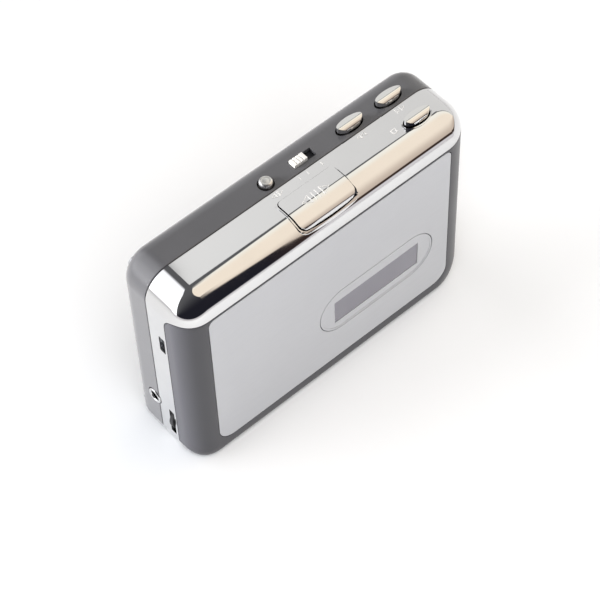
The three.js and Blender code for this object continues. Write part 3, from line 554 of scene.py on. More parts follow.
def circuit_board(name):
    """Green lacquer over copper tracks, drawn by a stretched brick pattern."""
    paint = Paint(name).set(Coat_Weight=0.5, Coat_Roughness=0.2, Roughness=0.4)
    tracks = paint.nodes.new("ShaderNodeTexBrick")
    tracks.inputs["Scale"].default_value = 260
    tracks.inputs["Mortar Size"].default_value = 0.09
    tracks.inputs["Color1"].default_value = (0.015, 0.1, 0.04, 1)
    tracks.inputs["Color2"].default_value = (0.02, 0.12, 0.05, 1)
    tracks.inputs["Mortar"].default_value = (0.05, 0.2, 0.07, 1)
    turned_place = paint.nodes.new("ShaderNodeMapping")
    turned_place.inputs["Rotation"].default_value = (math.pi / 2, 0, 0)
    paint.links.new(paint.place, turned_place.inputs["Vector"])
    paint.links.new(turned_place.outputs["Vector"], tracks.inputs["Vector"])
    paint.links.new(tracks.outputs["Color"], paint.shader.inputs["Base Color"])
    paint.bump(tracks.outputs["Fac"], 0.3, 0.05)
    return paint.material


CHROME = chrome("mirror_chrome")
KEY_CHROME = chrome("key_chrome", (0.76, 0.76, 0.75), 0.06)
SATIN_KEY = chrome("satin_key", (0.8, 0.8, 0.79), 0.28)
HOUSING = satin_plastic("housing_satin", (0.061, 0.0605, 0.065), 0.34, 0.6)
DOOR_PAINT = satin_plastic("door_satin", (0.037, 0.0365, 0.044), 0.38)
SILVER = silver_sheet("panel_silver")
LENS_SILVER = silver_sheet("lens_silver")
SMOKE = smoked_glass("window_smoke")
PRINT = moulded("white_print", (0.5, 0.49, 0.475), 0.4, 0.01)
KNOB_SILVER = moulded("knob_silver", (0.6, 0.585, 0.56), 0.3, 0.01)
# The look of each material slot that a CAD node may name.
LOOKS = {
    "case_grey": HOUSING,
    "door_grey": DOOR_PAINT,
    "chrome": CHROME,
    "silver_panel": SILVER,
    "smoked_lens": SMOKE,
    "satin_metal": brushed("satin_metal", (0.78, 0.78, 0.79), 0.28),
    "steel": brushed("plain_steel", (0.5, 0.51, 0.53)),
    "black_plastic": moulded("black_plastic", (0.022, 0.022, 0.024)),
    "white_plastic": moulded("white_plastic", (0.66, 0.65, 0.6), 0.38),
    "brass": brushed("turned_brass", (0.74, 0.5, 0.22), 0.3, (1, 1, 1)),
    "rubber": moulded("rubber", (0.014, 0.014, 0.014), 0.75, 0.08),
    "board_green": circuit_board("circuit_board"),
    "contact_metal": brushed("copper_contact", (0.72, 0.4, 0.22), 0.28),
}


def dress(piece, look):
    piece.data.materials.clear()
    piece.data.materials.append(look)
    return piece


def finish_piece(piece, name, look, slot_name, body, *nodes):
    """Names, colours and mounts a piece, and hides the CAD nodes that it stands for."""
    piece.name = name
    piece.data.name = name
    dress(piece, look)
    if nodes:
        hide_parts(*nodes)
    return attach(piece, body)


# ---------------------------------------- case
def key_outline(centre, margin):
    return ellipse(*centre, KEY["length"] + margin, KEY["width"] + margin)


def key_hole(centre):
    return prism(key_outline(centre, KEY["room"]), "z", *TOP_CUT)


def battery_tray(y0, y1):
    wall = BAY["wall"]
    return box(BAY["x0"] - wall, BAY["x1"] + wall, y0, y1, BAY["z0"] - wall, BAY["z1"] + wall)


def jack_hole():
    return rod("x", -WIDTH, LEFT_X + 3, JACK["y"], JACK["z"], JACK["ring"] + 0.3)


def hinge_bores(low, high):
    return [rod("x", *ends, HINGE_Y, HINGE_Z, HINGE_BORE, 24) for ends in both_ends(low, high)]


def inside_form(posts):
    """Trims posts so that they end inside the case's skin."""
    return [common(post, Form(inset=0.4).solid(8)) for post in posts]


def rear_shell():
    outer = Form(front=SEAM_Y, front_round=SEAM_ROUND)
    inner = Form(inset=WALL)
    shell = outer.solid()
    inside = common(inner.solid(), box(-WIDTH, WIDTH, 0, REAR_Y, -5, HEIGHT + 5))
    opening = box(COVER["x0"], WIDTH, COVER["y0"], REAR_Y + 5, -5, COVER["z1"])
    end = CASE_POST["rear"]
    posts = inside_form([rod("y", SEAM_Y + 0.4, end, x, z, CASE_POST["radius"]) for x, z in CASE_SCREWS])
    posts += [rod("y", DECK_POST["front"], end, x, z, DECK_POST["radius"]) for x, z in DECK_SCREWS]
    tray = cut(
        battery_tray(BAY["y0"] - 0.5, 13.9),
        box(COVER["x0"], WIDTH, COVER["y0"], REAR_Y, -5, BAY["z0"] - 1.5),
    )
    holes = [rod("y", 0, 13, x, z, CASE_POST["bore"], 24) for x, z in CASE_SCREWS]
    holes += [rod("y", CASE_POST["head_y"], REAR_Y + 1, x, z, CASE_POST["head"]) for x, z in CASE_SCREWS]
    holes += [rod("y", -2, 6, x, z, DECK_POST["bore"], 24) for x, z in DECK_SCREWS]
    made = union(cut(shell, inside, opening), *posts, tray)
    room = MODE["room"]
    cut(
        made,
        box(BAY["x0"], BAY["x1"], BAY["y0"], REAR_Y + 1, BAY["z0"], BAY["z1"]),
        *holes,
        key_hole(FAST_FORWARD),
        key_hole(REWIND),
        rod("z", *TOP_CUT, DIRECTION[0], DIRECTION[1], DIRECTION[2] + 0.5),
        box(MODE["x0"] - room, MODE["slot_end"], MODE["y0"] - room, MODE["y1"] + room, *TOP_CUT),
        jack_hole(),
    )
    shade_by_form(made, outer, inner)
    return finish_piece(made, "rear_shell", HOUSING, "case_grey", "case", "rear_housing")


def play_outline(margin):
    x0 = PLAY["x0"] - margin
    x1 = PLAY["x1"] + margin
    y0 = PLAY["y0"] - margin
    y1 = PLAY["y1"] + margin
    corner = 1.4 + margin
    middle = (x0 + x1) / 2
    rear = arc(x1 - corner, y1 - corner, corner, 0, 90) + arc(x0 + corner, y1 - corner, corner, 90, 180)
    left = bow((x0, y0 + 2.2), (x0 + 0.2, y0 + 0.7), (x0 + 2.4, y0 + 0.4))
    front = bow((x0 + 2.4, y0 + 0.4), (middle, y0 - 0.4), (x1 - 2.4, y0 + 0.4))
    right = bow((x1 - 2.4, y0 + 0.4), (x1 - 0.2, y0 + 0.7), (x1, y0 + 2.2))
    return rear + left + front[1:] + right[1:]


def raised_rim(outer_outline, inner_outline, proud):
    """A thin rim that stands proud of the case's form round a key's hole."""
    rim = cut(prism(outer_outline, "z", 73.5, HEIGHT + 3), prism(inner_outline, "z", 70, HEIGHT + 5))
    return cut(common(rim, Form(inset=-proud).solid()), Form(inset=0.5).solid())


def chrome_frame():
    outer = Form(rear=SEAM_Y - 0.15, rear_round=SEAM_ROUND)
    inner = Form(inset=WALL)
    shell = outer.solid()
    inside = common(inner.solid(), box(-WIDTH, WIDTH, FRONT_Y, SEAM_Y + 3, -5, HEIGHT + 5))
    cut(shell, inside, door_room(0.15, False))
    posts = inside_form(
        [rod("y", FRONT_POST["front"], SEAM_Y - 0.5, x, z, FRONT_POST["radius"]) for x, z in CASE_SCREWS]
    )
    shelf = [box(6.4, 14.5, -11.4, -7.8, 71.2, 72), box(11.4, 14.5, FRONT_Y + 0.8, -7.8, 71.2, 72)]
    ears = []
    for low, high in both_ends(EAR["low"], EAR["high"]):
        ears.append(rod("x", low, high, HINGE_Y, HINGE_Z, EAR["radius"]))
        ears.append(box(low, high, HINGE_Y, -3.4, HINGE_Z - 1.7, HINGE_Z + 2))
        ears.append(box(low, high, -4.6, -3.4, WALL - 0.5, HINGE_Z + 2))
    made = union(shell, *posts, *shelf, *ears)
    slot = (VOLUME["z"] - VOLUME["slot"], VOLUME["z"] + VOLUME["slot"])
    half_width = USB["width"] / 2
    half_height = USB["height"] / 2
    socket = rounded(
        USB["y"] - half_width, USB["y"] + half_width, USB["z"] - half_height, USB["z"] + half_height, 0.35
    )
    cut(
        made,
        *[rod("y", 0.2, SEAM_Y + 1, x, z, FRONT_POST["bore"], 24) for x, z in CASE_SCREWS],
        *hinge_bores(42, 48),
        prism(play_outline(PLAY["room"]), "z", 72.2, HEIGHT + 5),
        key_hole(STOP),
        box(-WIDTH, LEFT_X + 2, VOLUME["y0"] - 0.5, VOLUME["y1"] + 0.4, *slot),
        prism(socket, "x", -WIDTH, LEFT_X + 3),
        jack_hole(),
    )
    shade_by_form(made, outer, inner)
    return finish_piece(made, "chrome_frame", CHROME, "chrome", "case", "front_frame")


def key_rims():
    room = PLAY["room"]
    play_rim = raised_rim(play_outline(room + PLAY_RIM["width"]), play_outline(room), PLAY_RIM["proud"])
    outside = key_outline(STOP, KEY["room"] + 2 * STOP_RIM["width"])
    stop_rim = raised_rim(outside, key_outline(STOP, KEY["room"]), STOP_RIM["proud"])
    made = union(play_rim, stop_rim)
    soften(made, 0.16, 3, 40)
    return finish_piece(made, "key_rims", CHROME, "chrome", "case")


def battery_door():
    outer = Form()
    inner = Form(inset=WALL)
    made = cut(outer.solid(), inner.solid())
    room = COVER["room"]
    common(made, box(COVER["x0"] + room, WIDTH, COVER["y0"] + room, REAR_Y + 5, -5, COVER["z1"] - room))
    grooves = []
    for i in range(GRIP["count"]):
        x = GRIP["x"] - i * GRIP["pitch"]
        grooves.append(
            box(x, x + GRIP["width"], REAR_Y - GRIP["depth"], REAR_Y + 1, GRIP["z0"], GRIP["z1"])
        )
    cut(made, box(BAY["x0"] - 2, BAY["x1"] + 1.5, 0, 14.2, BAY["z0"] - 1.5, COVER["z1"]), *grooves)
    shade_by_form(made, outer, inner)
    return finish_piece(made, "battery_door", HOUSING, "case_grey", "cover", "battery_cover")


# ---------------------------------------- cassette door
def panel_outline(margin):
    p = PANEL
    sides = (p["x0"] - margin, p["x1"] + margin, p["z0"] - margin, p["z1"] + margin)
    return rounded(*sides, p["bottom"], p["top"])


def window_box(margin, y0, y1):
    half = WINDOW["width"] / 2 + margin
    tall = WINDOW["height"] / 2 + margin
    x, z = WINDOW["x"], WINDOW["z"]
    return box(x - half, x + half, y0, y1, z - tall, z + tall)


def door_shell():
    outer = Form()
    inner = Form(inset=WALL)
    made = cut(common(outer.solid(), door_room(-0.15, True)), inner.solid())
    lugs = []
    for low, high in both_ends(LUG["low"], LUG["high"]):
        lug = box(low, high, FRONT_Y + 0.6, HINGE_Y + LUG["reach"], 0.6, HINGE_Z + LUG["reach"])
        lugs.append(common(lug, Form(inset=0.2).solid(8)))
    union(made, *lugs)
    notches = []
    for low, high in both_ends(EAR["low"] - EAR["room"], EAR["high"] + EAR["room"]):
        notches.append(rod("x", low, high, HINGE_Y, HINGE_Z, EAR["radius"] + 0.45))
        notches.append(box(low, high, HINGE_Y, 0, -2, HINGE_Z + 3))
    cut(
        made,
        prism(panel_outline(0.2), "y", FRONT_Y - 1, FRONT_Y + 0.8),
        window_box(0, FRONT_Y - 1, FRONT_Y + 3),
        *notches,
        *hinge_bores(44.4, 51.2),
    )
    shade_by_form(made, outer, inner)
    return finish_piece(made, "door_shell", DOOR_PAINT, "door_grey", "door", "door_frame")


def panel_sheet():
    outer = Form()
    sheet = common(prism(panel_outline(0), "y", FRONT_Y - 1, FRONT_Y + 0.7), outer.solid())
    cut(sheet, prism(stadium(LENS["x"], LENS["z"], LENS["width"], LENS["height"]), "y", FRONT_Y - 2, 0))
    shade_by_form(sheet, outer)
    return finish_piece(sheet, "panel_sheet", SILVER, "silver_panel", "door", "door_panel")


def lens_surround():
    """The oval plate round the window: silver under a clear coat, with a raised rim."""
    width = LENS["width"] - 2 * LENS["gap"]
    height = LENS["height"] - 2 * LENS["gap"]
    rim = 2 * LENS["rim"]
    plate = prism(stadium(LENS["x"], LENS["z"], width, height), "y", FRONT_Y + 0.12, FRONT_Y + 0.7)
    cut(plate, window_box(0.02, FRONT_Y - 1, 0))
    edge = cut(
        prism(stadium(LENS["x"], LENS["z"], width, height), "y", FRONT_Y - 0.02, FRONT_Y + 0.4),
        prism(stadium(LENS["x"], LENS["z"], width - rim, height - rim), "y", FRONT_Y - 1, FRONT_Y + 1),
    )
    soften(edge, 0.12)
    plate = union(plate, edge)
    for face in plate.data.polygons:
        face.use_smooth = False
    return finish_piece(plate, "lens_surround", LENS_SILVER, "silver_panel", "door", "door_window")


def window_pane():
    pane = window_box(-0.1, FRONT_Y + 0.2, FRONT_Y + 0.75)
    soften(pane, 0.1)
    return finish_piece(pane, "window_pane", SMOKE, "smoked_lens", "door", "door_window")


# ---------------------------------------- keys
def oval_cap(body, centre, flange_z, stem_z):
    """One oval key: a chrome cap, straight behind its ridge and curved in front, on a black foot."""
    x, y = centre
    cap = prism(ellipse(x, y, KEY["length"], KEY["width"]), "z", flange_z, KEY["top"])
    half = KEY["width"] / 2 + 0.5
    low = flange_z - 1
    crown = [
        (y - half * t, KEY["top"] - CROWN["front_drop"] * t ** CROWN["power"]) for t in np.linspace(0, 1, 25)
    ]
    roof = [(y + half, low), (y + half, KEY["top"] - CROWN["rear_drop"])] + crown + [(y - half, low)]
    common(cap, prism(roof, "x", x - 8, x + 8))
    soften(cap, 0.34, 4, 38)
    across = KEY_FOOT["length"] / 2
    deep = KEY_FOOT["width"] / 2
    under = flange_z - KEY_FOOT["depth"]
    others = [box(x - across, x + across, y - deep, y + deep, under, flange_z + 0.2)]
    if stem_z < flange_z:
        others.append(rod("z", stem_z, flange_z, x, y, KEY_FOOT["stem"], 24))
    finish_piece(cap, body + "_cap", KEY_CHROME, "chrome", body, body + "_button")
    foot = union(*others)
    return finish_piece(foot, body + "_foot", LOOKS["black_plastic"], "chrome", body)


def play_cap():
    """The play key: it follows the case's form, then rolls over to a lip at its lower edge."""
    reach = FRONT_EDGE["top"] + PLAY["proud"]
    middle = (FRONT_Y + FRONT_EDGE["top"], HEIGHT - FRONT_EDGE["top"])
    roll = PLAY_LIP["roll"]
    turn = 90 + PLAY_LIP["fold"]
    [centre] = arc(*middle, reach - roll, turn, turn, 0)
    side = [(3, HEIGHT + PLAY["proud"])] + arc(*middle, reach, 90, turn, 14)
    side += arc(*centre, roll, turn, 180, 24)[1:] + [(centre[0] - roll, 70), (3, 70)]
    made = common(prism(side, "x", -15, 15), prism(play_outline(0), "z", 71, HEIGHT + 5))
    cut(made, Form(inset=1).solid())
    soften(made, 0.18, 3, 40)
    finish_piece(made, "play_cap", CHROME, "chrome", "play", "play_button")
    pusher = box(-6, 2.4, -2.9, -2.1, 75.8, 77.4)
    spring_seat = rod("z", 75.9, 77.2, *PLAY_SPRING, 1.3, 24)
    finish_piece(union(pusher, spring_seat), "play_foot", LOOKS["black_plastic"], "chrome", "play")
    outer = Form(inset=-PLAY["proud"] - 0.06)
    inner = Form(inset=-PLAY["proud"] + 0.1)
    symbols = [arrow(x, -6.5, 3.2, 3.4, way, 75, HEIGHT + 5) for x, way in ((-3.9, -1), (3.7, 1))]
    symbols += [box(x, x + 0.26, -8.1, -4.9, 75, HEIGHT + 5) for x in (-1, 0.45)]
    raised = cut(common(union(*symbols), outer.solid()), inner.solid())
    shade_by_form(raised, outer)
    return finish_piece(raised, "play_symbols", PRINT, "chrome", "play")


def direction_cap():
    x, y, radius = DIRECTION
    profile = [
        (0, 73.2), (1.3, 73.2), (1.3, 75.6), (2.9, 75.6), (2.9, 76.4), (radius, 76.4), (radius, 79.35),
        (radius - 0.15, 79.7), (1.72, 80.0), (1.4, 80.1), (1.25, 80.02), (1.1, 80.05), (0, 80.1),
    ]
    made = turned(profile, "z", x, y)
    made.data.shade_smooth()
    soften(made, 0.1, 2, 50)
    return finish_piece(made, "direction_cap", SATIN_KEY, "chrome", "direction", "direction_button")


def mode_slider():
    slab = box(MODE["x0"], MODE["x1"], MODE["y0"], MODE["y1"], HEIGHT - 0.9, MODE["top"])
    grooves = []
    for i in range(3):
        x = MODE["x0"] + 1.1 + i * 1.2
        grooves.append(box(x, x + 0.32, MODE["y0"] - 1, MODE["y1"] + 1, MODE["top"] - 0.3, MODE["top"] + 1))
    neck = box(MODE["x0"] + 1.4, MODE["x1"] - 1.4, MODE["y0"] + 0.7, MODE["y1"] - 0.7, 75.2, HEIGHT - 0.8)
    made = cut(union(slab, neck), *grooves)
    soften(made, 0.08, 2)
    finish_piece(made, "mode_slider", KNOB_SILVER, "satin_metal", "mode", "mode_switch_knob")
    shutter = box(*SHUTTER)
    return finish_piece(shutter, "mode_shutter", LOOKS["black_plastic"], "satin_metal", "mode")


# ---------------------------------------- left side
def volume_dial():
    teeth = 60
    rim = []
    for i in range(teeth):
        start = 2 * math.pi * i / teeth
        for share, drop_in in ((0.0, 0.3), (0.3, 0.0), (0.7, 0.0)):
            angle = start + share * 2 * math.pi / teeth
            reach = VOLUME["radius"] - drop_in
            rim.append((VOLUME["x"] + reach * math.cos(angle), VOLUME["z"] + reach * math.sin(angle)))
    made = prism(rim, "y", VOLUME["y0"], VOLUME["y1"] - 0.1)
    cut(made, rod("y", -10, 10, VOLUME["x"], VOLUME["z"], VOLUME["bore"]))
    black = LOOKS["black_plastic"]
    return finish_piece(made, "volume_dial", black, "black_plastic", "volume", "volume_wheel")


def jack_sleeve():
    y, z = JACK["y"], JACK["z"]
    end = LEFT_X - 0.4
    ring = JACK["ring"]
    bore = JACK["bore"]
    profile = [
        (bore, -46), (bore, end + 0.5), (bore + 0.25, end + 0.12), (bore + 0.45, end),
        (ring - 0.4, end), (ring - 0.12, end + 0.12), (ring, end + 0.4), (ring, -55),
        (bore + 0.6, -55), (bore + 0.6, -46), (bore, -46),
    ]
    made = turned(profile, "x", y, z)
    made.data.shade_smooth()
    soften(made, 0.05, 1, 60)
    finish_piece(made, "jack_sleeve", CHROME, "chrome", "case", "headphone_jack")
    block = cut(
        box(-55.8, -45, y - 3, y + 3, z - 3, z + 3),
        rod("x", -60, -45.9, y, z, bore + 0.65),
        rod("x", -60, -54.95, y, z, ring + 0.05),
    )
    soften(block, 0.15, 2)
    return finish_piece(block, "jack_block", LOOKS["black_plastic"], "chrome", "case")


# ---------------------------------------- coil springs
def coil_spring(key, place, z0, z1, radius, wire, turns):
    """A coil of round wire along Z with closed, flat ends."""
    work = bmesh.new()
    per_turn = 24
    sides = 8
    low = z0 + wire
    high = z1 - wire
    rings = []
    for i in range(per_turn * (turns + 2) + 1):
        lap = i / per_turn
        share = min(max((lap - 1) / turns, 0), 1)
        middle = low + wire + (high - low - 2 * wire) * share
        if lap < 1:
            middle = low + wire * lap
        elif lap > turns + 1:
            middle = high - wire * (turns + 2 - lap)
        angle = 2 * math.pi * lap
        ring = []
        for k in range(sides):
            round_wire = 2 * math.pi * k / sides
            reach = radius + wire * math.cos(round_wire)
            point = (
                place[0] + reach * math.cos(angle),
                place[1] + reach * math.sin(angle),
                middle + wire * math.sin(round_wire),
            )
            ring.append(work.verts.new(Vector(point) * MM))
        rings.append(ring)
    for here, there in zip(rings, rings[1:]):
        for k in range(sides):
            m = (k + 1) % sides
            work.faces.new((here[k], here[m], there[m], there[k]))
    work.faces.new(rings[0])
    work.faces.new(rings[-1])
    made = from_bmesh(work)
    made.data.shade_smooth()
    finish_piece(made, key + "_coil", LOOKS["steel"], "steel", "case", key + "_spring")
    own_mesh(made)


def coil_springs():
    coil_spring("play", PLAY_SPRING, z0=72.1, z1=75.8, radius=1.2, wire=0.2, turns=3)
    coil_spring("stop", STOP, z0=71.9, z1=75.6, radius=1.9, wire=0.22, turns=3)
    for key, place in (("fast_forward", FAST_FORWARD), ("rewind", REWIND)):
        coil_spring(key, place, z0=67.5, z1=74.6, radius=1.8, wire=0.25, turns=4)


# ---------------------------------------- small printed marks
def triangle(x, y, length, width, way):
    """A small arrow head in X and Y that points along X."""
    tip = (x + way * length / 2, y)
    return [tip, (x - way * length / 2, y + width / 2), (x - way * length / 2, y - width / 2)]


def arrow(x, y, length, width, way, z0, z1, stroke=0.24):
    """A hollow arrow head, drawn as a thin line."""
    inner = triangle(x - way * stroke * 0.35, y, length - stroke * 3.4, width - stroke * 3.4, way)
    return cut(prism(triangle(x, y, length, width, way), "z", z0, z1), prism(inner, "z", z0 - 1, z1 + 1))


def marks():
    """Generic transport symbols beside the keys, as thin raised print."""
    z0 = HEIGHT - 0.02
    z1 = HEIGHT + 0.06
    row = 1.5
    printed = [cut(box(32.6, 34.4, -4.8, -3.0, z0, z1), box(32.9, 34.1, -4.5, -3.3, z0 - 1, z1 + 1))]
    for (x, _), way in ((FAST_FORWARD, -1), (REWIND, 1)):
        for shift in (-0.9, 0.9):
            printed.append(arrow(x + shift, row, 1.7, 1.9, way, z0, z1, 0.2))
    for x, way in ((-9.4, -1), (-6.9, 1)):
        printed.append(arrow(x, row, 1.8, 1.9, way, z0, z1, 0.2))
    for x in (0.6, 3.8, 9.2):
        printed.append(box(x, x + 0.25, row - 0.7, row + 0.7, z0, z1))
    return finish_piece(union(*printed), "key_symbols", PRINT, "case_grey", "case")


# ---------------------------------------- build
def build_pieces():
    rear_shell()
    chrome_frame()
    key_rims()
    battery_door()
    door_shell()
    panel_sheet()
    lens_surround()
    window_pane()
    oval_cap("stop", STOP, flange_z=76.5, stem_z=76.5)
    oval_cap("fast_forward", FAST_FORWARD, flange_z=75.5, stem_z=64)
    oval_cap("rewind", REWIND, flange_z=75.5, stem_z=64)
    play_cap()
    direction_cap()
    mode_slider()
    volume_dial()
    jack_sleeve()
    coil_springs()
    marks()


def dress_cad_nodes():
    """Every CAD node that still shows takes the look of its material slot."""
    slots = {part["node"]: part["material_slot"] for part in frame["record"]["subparts"]}
    for name, node in frame["nodes"].items():
        if node.hide_render:
            continue
        dress(node, LOOKS[slots[name]])
        node.data.shade_smooth()
        node.data.set_sharp_from_angle(angle=math.radians(32))


# ---------------------------------------- stage, light and camera
FLOOR_SIZE = 4.0


def build_floor():
    work = bmesh.new()
    bmesh.ops.create_grid(work, x_segments=1, y_segments=1, size=FLOOR_SIZE / 2)
    floor = from_bmesh(work, "floor")
    paint = Paint("pale_floor").set(Roughness=0.9)
    paint.shader.inputs["Specular IOR Level"].default_value = 0.1
    paint.colours(paint.noise(8, 2), (0.3, (0.93, 0.94, 0.95)), (0.7, (0.95, 0.957, 0.965)))
    dress(floor, paint.material)
    return floor


# The studio, as limits on a direction. Its x is the part along +X, its z the part straight up, and its tilt
# the angle from straight up towards +Y, in radians. A line gives two places on x and its value at each. A
# step gives where it starts and where it ends.
CREAM_REAR = (0.334, 0.4, 0.33, 0.47)
CREAM_LOW = (0.334, 0.378, 0.78, 0.56)
CREAM_DROP = (0.378, 0.394, 0.0, 0.275)
CREAM_START = (0.331, 0.343)
PALE_TOP = (0.38, 0.42, 0.05, 0.14)
FALL = (0.6, 1.0, 0.0, 0.32)
WHITE_FRONT = (-0.35, 0.0, 0.33, 0.5)
WHITE_START = (0.06, -0.1)
GLOW_START = (-0.4, -0.6)
TIP = {"x": 0.14, "reach": 0.19, "tilt": -0.12, "half": 0.37}
TIP_END = (0.4, 0.36)
GREY = {"tilt": 0.534, "x": 0.327, "edge": 0.006}
GREY_SPREAD = (0.34, 0.45, 0.0, 1.0)
BROWN_START = (0.36, 0.4)
GAP_START = (-0.9, 0.3)
MILK_START = (0.0, 0.4)
TAN_START = (-0.5, -1.2)
SOFT = {"cream_rear": 0.05, "cream_low": 0.06, "tip": 0.04, "white": 0.04, "pale": 0.06}
SKY = {
    "grey": (1.02, 1.015, 1.0),
    "mid": (0.89, 0.88, 0.86),
    "milk": (1.23, 1.19, 1.07),
    "peach": (1.21, 1.06, 0.88),
    "tan": (0.77, 0.64, 0.53),
    "white": (1.4, 1.41, 1.45),
    "pale": (0.86, 0.83, 0.85),
    "gap": (0.13, 0.13, 0.135),
    "dark": (0.018, 0.018, 0.026),
    "brown": (0.055, 0.033, 0.026),
    "glow": (2.3, 2.3, 2.35),
}


class Sky:
    """The world's background, and short ways to join its nodes."""

    def __init__(self):
        world = bpy.data.worlds.new("studio")
        bpy.context.scene.world = world
        world.use_nodes = True
        self.nodes = world.node_tree.nodes
        self.links = world.node_tree.links
        self.back = self.nodes["Background"]
        place = self.nodes.new("ShaderNodeTexCoord")
        split = self.nodes.new("ShaderNodeSeparateXYZ")
        self.links.new(place.outputs["Generated"], split.inputs[0])
        self.direction = [split.outputs[i] for i in range(3)]

    def fill(self, socket, value):
        if isinstance(value, (int, float)):
            socket.default_value = value
        elif isinstance(value, tuple):
            socket.default_value = (*value, 1)
        else:
            self.links.new(value, socket)

    def math(self, operation, *values):
        node = self.nodes.new("ShaderNodeMath")
        node.operation = operation
        for socket, value in zip(node.inputs, values):
            self.fill(socket, value)
        return node.outputs[0]

    def ranged(self, value, **limits):
        node = self.nodes.new("ShaderNodeMapRange")
        self.links.new(value, node.inputs["Value"])
        for name, number in limits.items():
            node.inputs[name.replace("_", " ").title()].default_value = number
        return node

    def ramp(self, value, low, high):
        """0 below low and 1 above high. With low above high it falls instead."""
        node = self.ranged(value, from_min=low, from_max=high)
        node.interpolation_type = "SMOOTHSTEP"
        return node.outputs["Result"]

    def line(self, value, start, end, low, high):
        """A straight line from low to high, flat before start and after end."""
        return self.ranged(value, from_min=start, from_max=end, to_min=low, to_max=high).outputs["Result"]

    def soft_step(self, value, limit, edge):
        """0 below a limit that may itself vary, 1 above it, over a soft edge."""
        return self.ramp(self.math("SUBTRACT", value, limit), -edge / 2, edge / 2)

    def mix(self, share, first, second):
        node = self.nodes.new("ShaderNodeMix")
        node.data_type = "RGBA"
        self.links.new(share, node.inputs["Factor"])
        self.fill(node.inputs[6], first)
        self.fill(node.inputs[7], second)
        return node.outputs[2]


def build_world():
    """A soft studio: a cream light overhead, grey and white behind it, and dark gaps between them."""
    sky = Sky()
    x, y, z = sky.direction
    tilt = sky.math("ARCTAN2", y, z)
    fall = sky.line(x, *FALL)

    cream_drop = sky.math("ADD", sky.line(x, *CREAM_DROP), fall)
    cream_low = sky.math("SUBTRACT", sky.line(x, *CREAM_LOW), cream_drop)
    band_rear = sky.soft_step(sky.line(x, *CREAM_REAR), tilt, SOFT["cream_rear"])
    band = sky.math("MULTIPLY", band_rear, sky.soft_step(z, cream_low, SOFT["cream_low"]))
    band = sky.math("MULTIPLY", band, sky.ramp(x, *CREAM_START))
    across = sky.math("MULTIPLY_ADD", tilt, 1 / TIP["half"], -TIP["tilt"] / TIP["half"])
    squared = sky.math("MULTIPLY", across, across)
    tip_edge = sky.math("MULTIPLY_ADD", squared, TIP["reach"], TIP["x"])
    tip = sky.math("MULTIPLY", sky.soft_step(x, tip_edge, SOFT["tip"]), sky.ramp(x, *TIP_END))
    cream = sky.math("MAXIMUM", band, tip)
    cream_colour = sky.mix(sky.ramp(tilt, *MILK_START), SKY["peach"], SKY["milk"])
    cream_colour = sky.mix(sky.ramp(tilt, *TAN_START), cream_colour, SKY["tan"])

    grey_tilt = sky.ramp(tilt, GREY["tilt"], GREY["tilt"] + GREY["edge"])
    grey = sky.math("MULTIPLY", grey_tilt, sky.ramp(x, GREY["x"], GREY["x"] + GREY["edge"]))
    grey_colour = sky.mix(sky.line(x, *GREY_SPREAD), SKY["grey"], SKY["mid"])
    white_front = sky.soft_step(tilt, sky.line(x, *WHITE_FRONT), SOFT["white"])
    white = sky.math("MULTIPLY", white_front, sky.ramp(x, *WHITE_START))
    white_colour = sky.mix(sky.ramp(x, *GLOW_START), SKY["white"], SKY["glow"])
    pale = sky.soft_step(sky.math("SUBTRACT", sky.line(x, *PALE_TOP), fall), z, SOFT["pale"])

    colour = sky.mix(sky.ramp(x, *BROWN_START), SKY["dark"], SKY["brown"])
    colour = sky.mix(sky.ramp(tilt, *GAP_START), colour, SKY["gap"])
    colour = sky.mix(cream, colour, cream_colour)
    colour = sky.mix(grey, colour, grey_colour)
    colour = sky.mix(white, colour, white_colour)
    colour = sky.mix(pale, colour, SKY["pale"])
    sky.links.new(colour, sky.back.inputs["Color"])
    sky.back.inputs["Strength"].default_value = 1.0


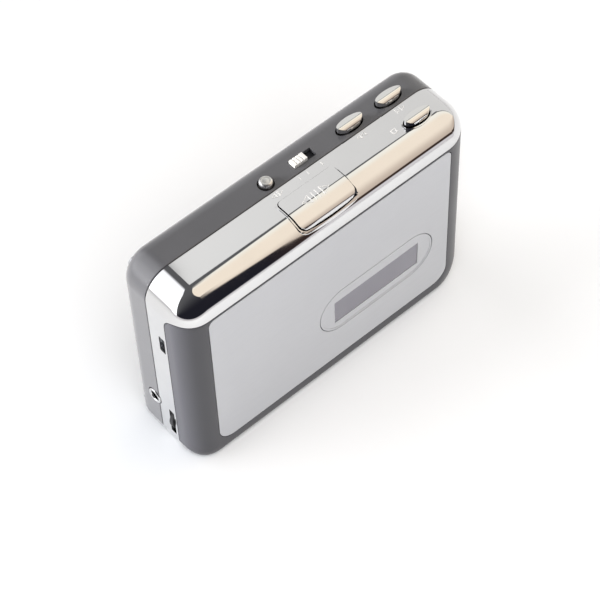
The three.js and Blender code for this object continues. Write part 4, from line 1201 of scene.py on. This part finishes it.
def area_light(name, place, target, size, power, colour):
    lamp = bpy.data.lights.new(name, "AREA")
    lamp.size = size
    lamp.energy = power
    lamp.color = colour
    made = bpy.data.objects.new(name, lamp)
    bpy.context.scene.collection.objects.link(made)
    made.location = place
    made.rotation_euler = (Vector(target) - Vector(place)).to_track_quat("-Z", "Y").to_euler()
    made.visible_glossy = False
    return made


def keep_off(lamp, piece):
    """Leaves a piece out of a lamp's light, and so clear of the shadows that the lamp casts."""
    unlit = bpy.data.collections.new(lamp.name + "_unlit")
    unlit.objects.link(piece)
    unlit.collection_objects[0].light_linking.link_state = "EXCLUDE"
    lamp.light_linking.receiver_collection = unlit


def build_lights(floor):
    """A large key light in front and above, and a lamp low on the left for the case's left side."""
    area_light("key", (-0.35, -0.7, 1.2), (0, 0, 0.03), size=1.2, power=17, colour=(0.965, 0.98, 1))
    left_rim = area_light(
        "left_rim", (-0.85, 0.58, 0.3), (-0.05, 0.008, 0.045), size=0.35, power=36, colour=(1, 1, 1)
    )
    keep_off(left_rim, floor)


# Where the camera stands: angles in degrees round the target, distances in metres.
AZIMUTH = 39.121
ELEVATION = 54.173
ROLL = -2.588
DISTANCE = 0.66532
TARGET = (-0.002569, 0, 0.021981)
LENS_MM = 126.64


def build_camera():
    az, el, roll = (math.radians(a) for a in (AZIMUTH, ELEVATION, ROLL))
    back = Vector((-math.sin(az) * math.cos(el), -math.cos(az) * math.cos(el), math.sin(el)))
    level = Vector((math.cos(az), -math.sin(az), 0))
    rise = level.cross(-back)
    across = math.cos(roll) * level + math.sin(roll) * rise
    upright = -math.sin(roll) * level + math.cos(roll) * rise
    lens = bpy.data.cameras.new("camera")
    lens.lens = LENS_MM
    lens.sensor_width = 36
    lens.clip_start = 0.01
    camera = bpy.data.objects.new("camera", lens)
    bpy.context.scene.collection.objects.link(camera)
    turn = Matrix((across, upright, back)).transposed()
    camera.matrix_world = Matrix.Translation(Vector(TARGET) + back * DISTANCE) @ turn.to_4x4()
    bpy.context.scene.camera = camera


build_pieces()
dress_cad_nodes()
build_world()
build_lights(build_floor())
build_camera()
bpy.context.scene.view_settings.view_transform = "Standard"
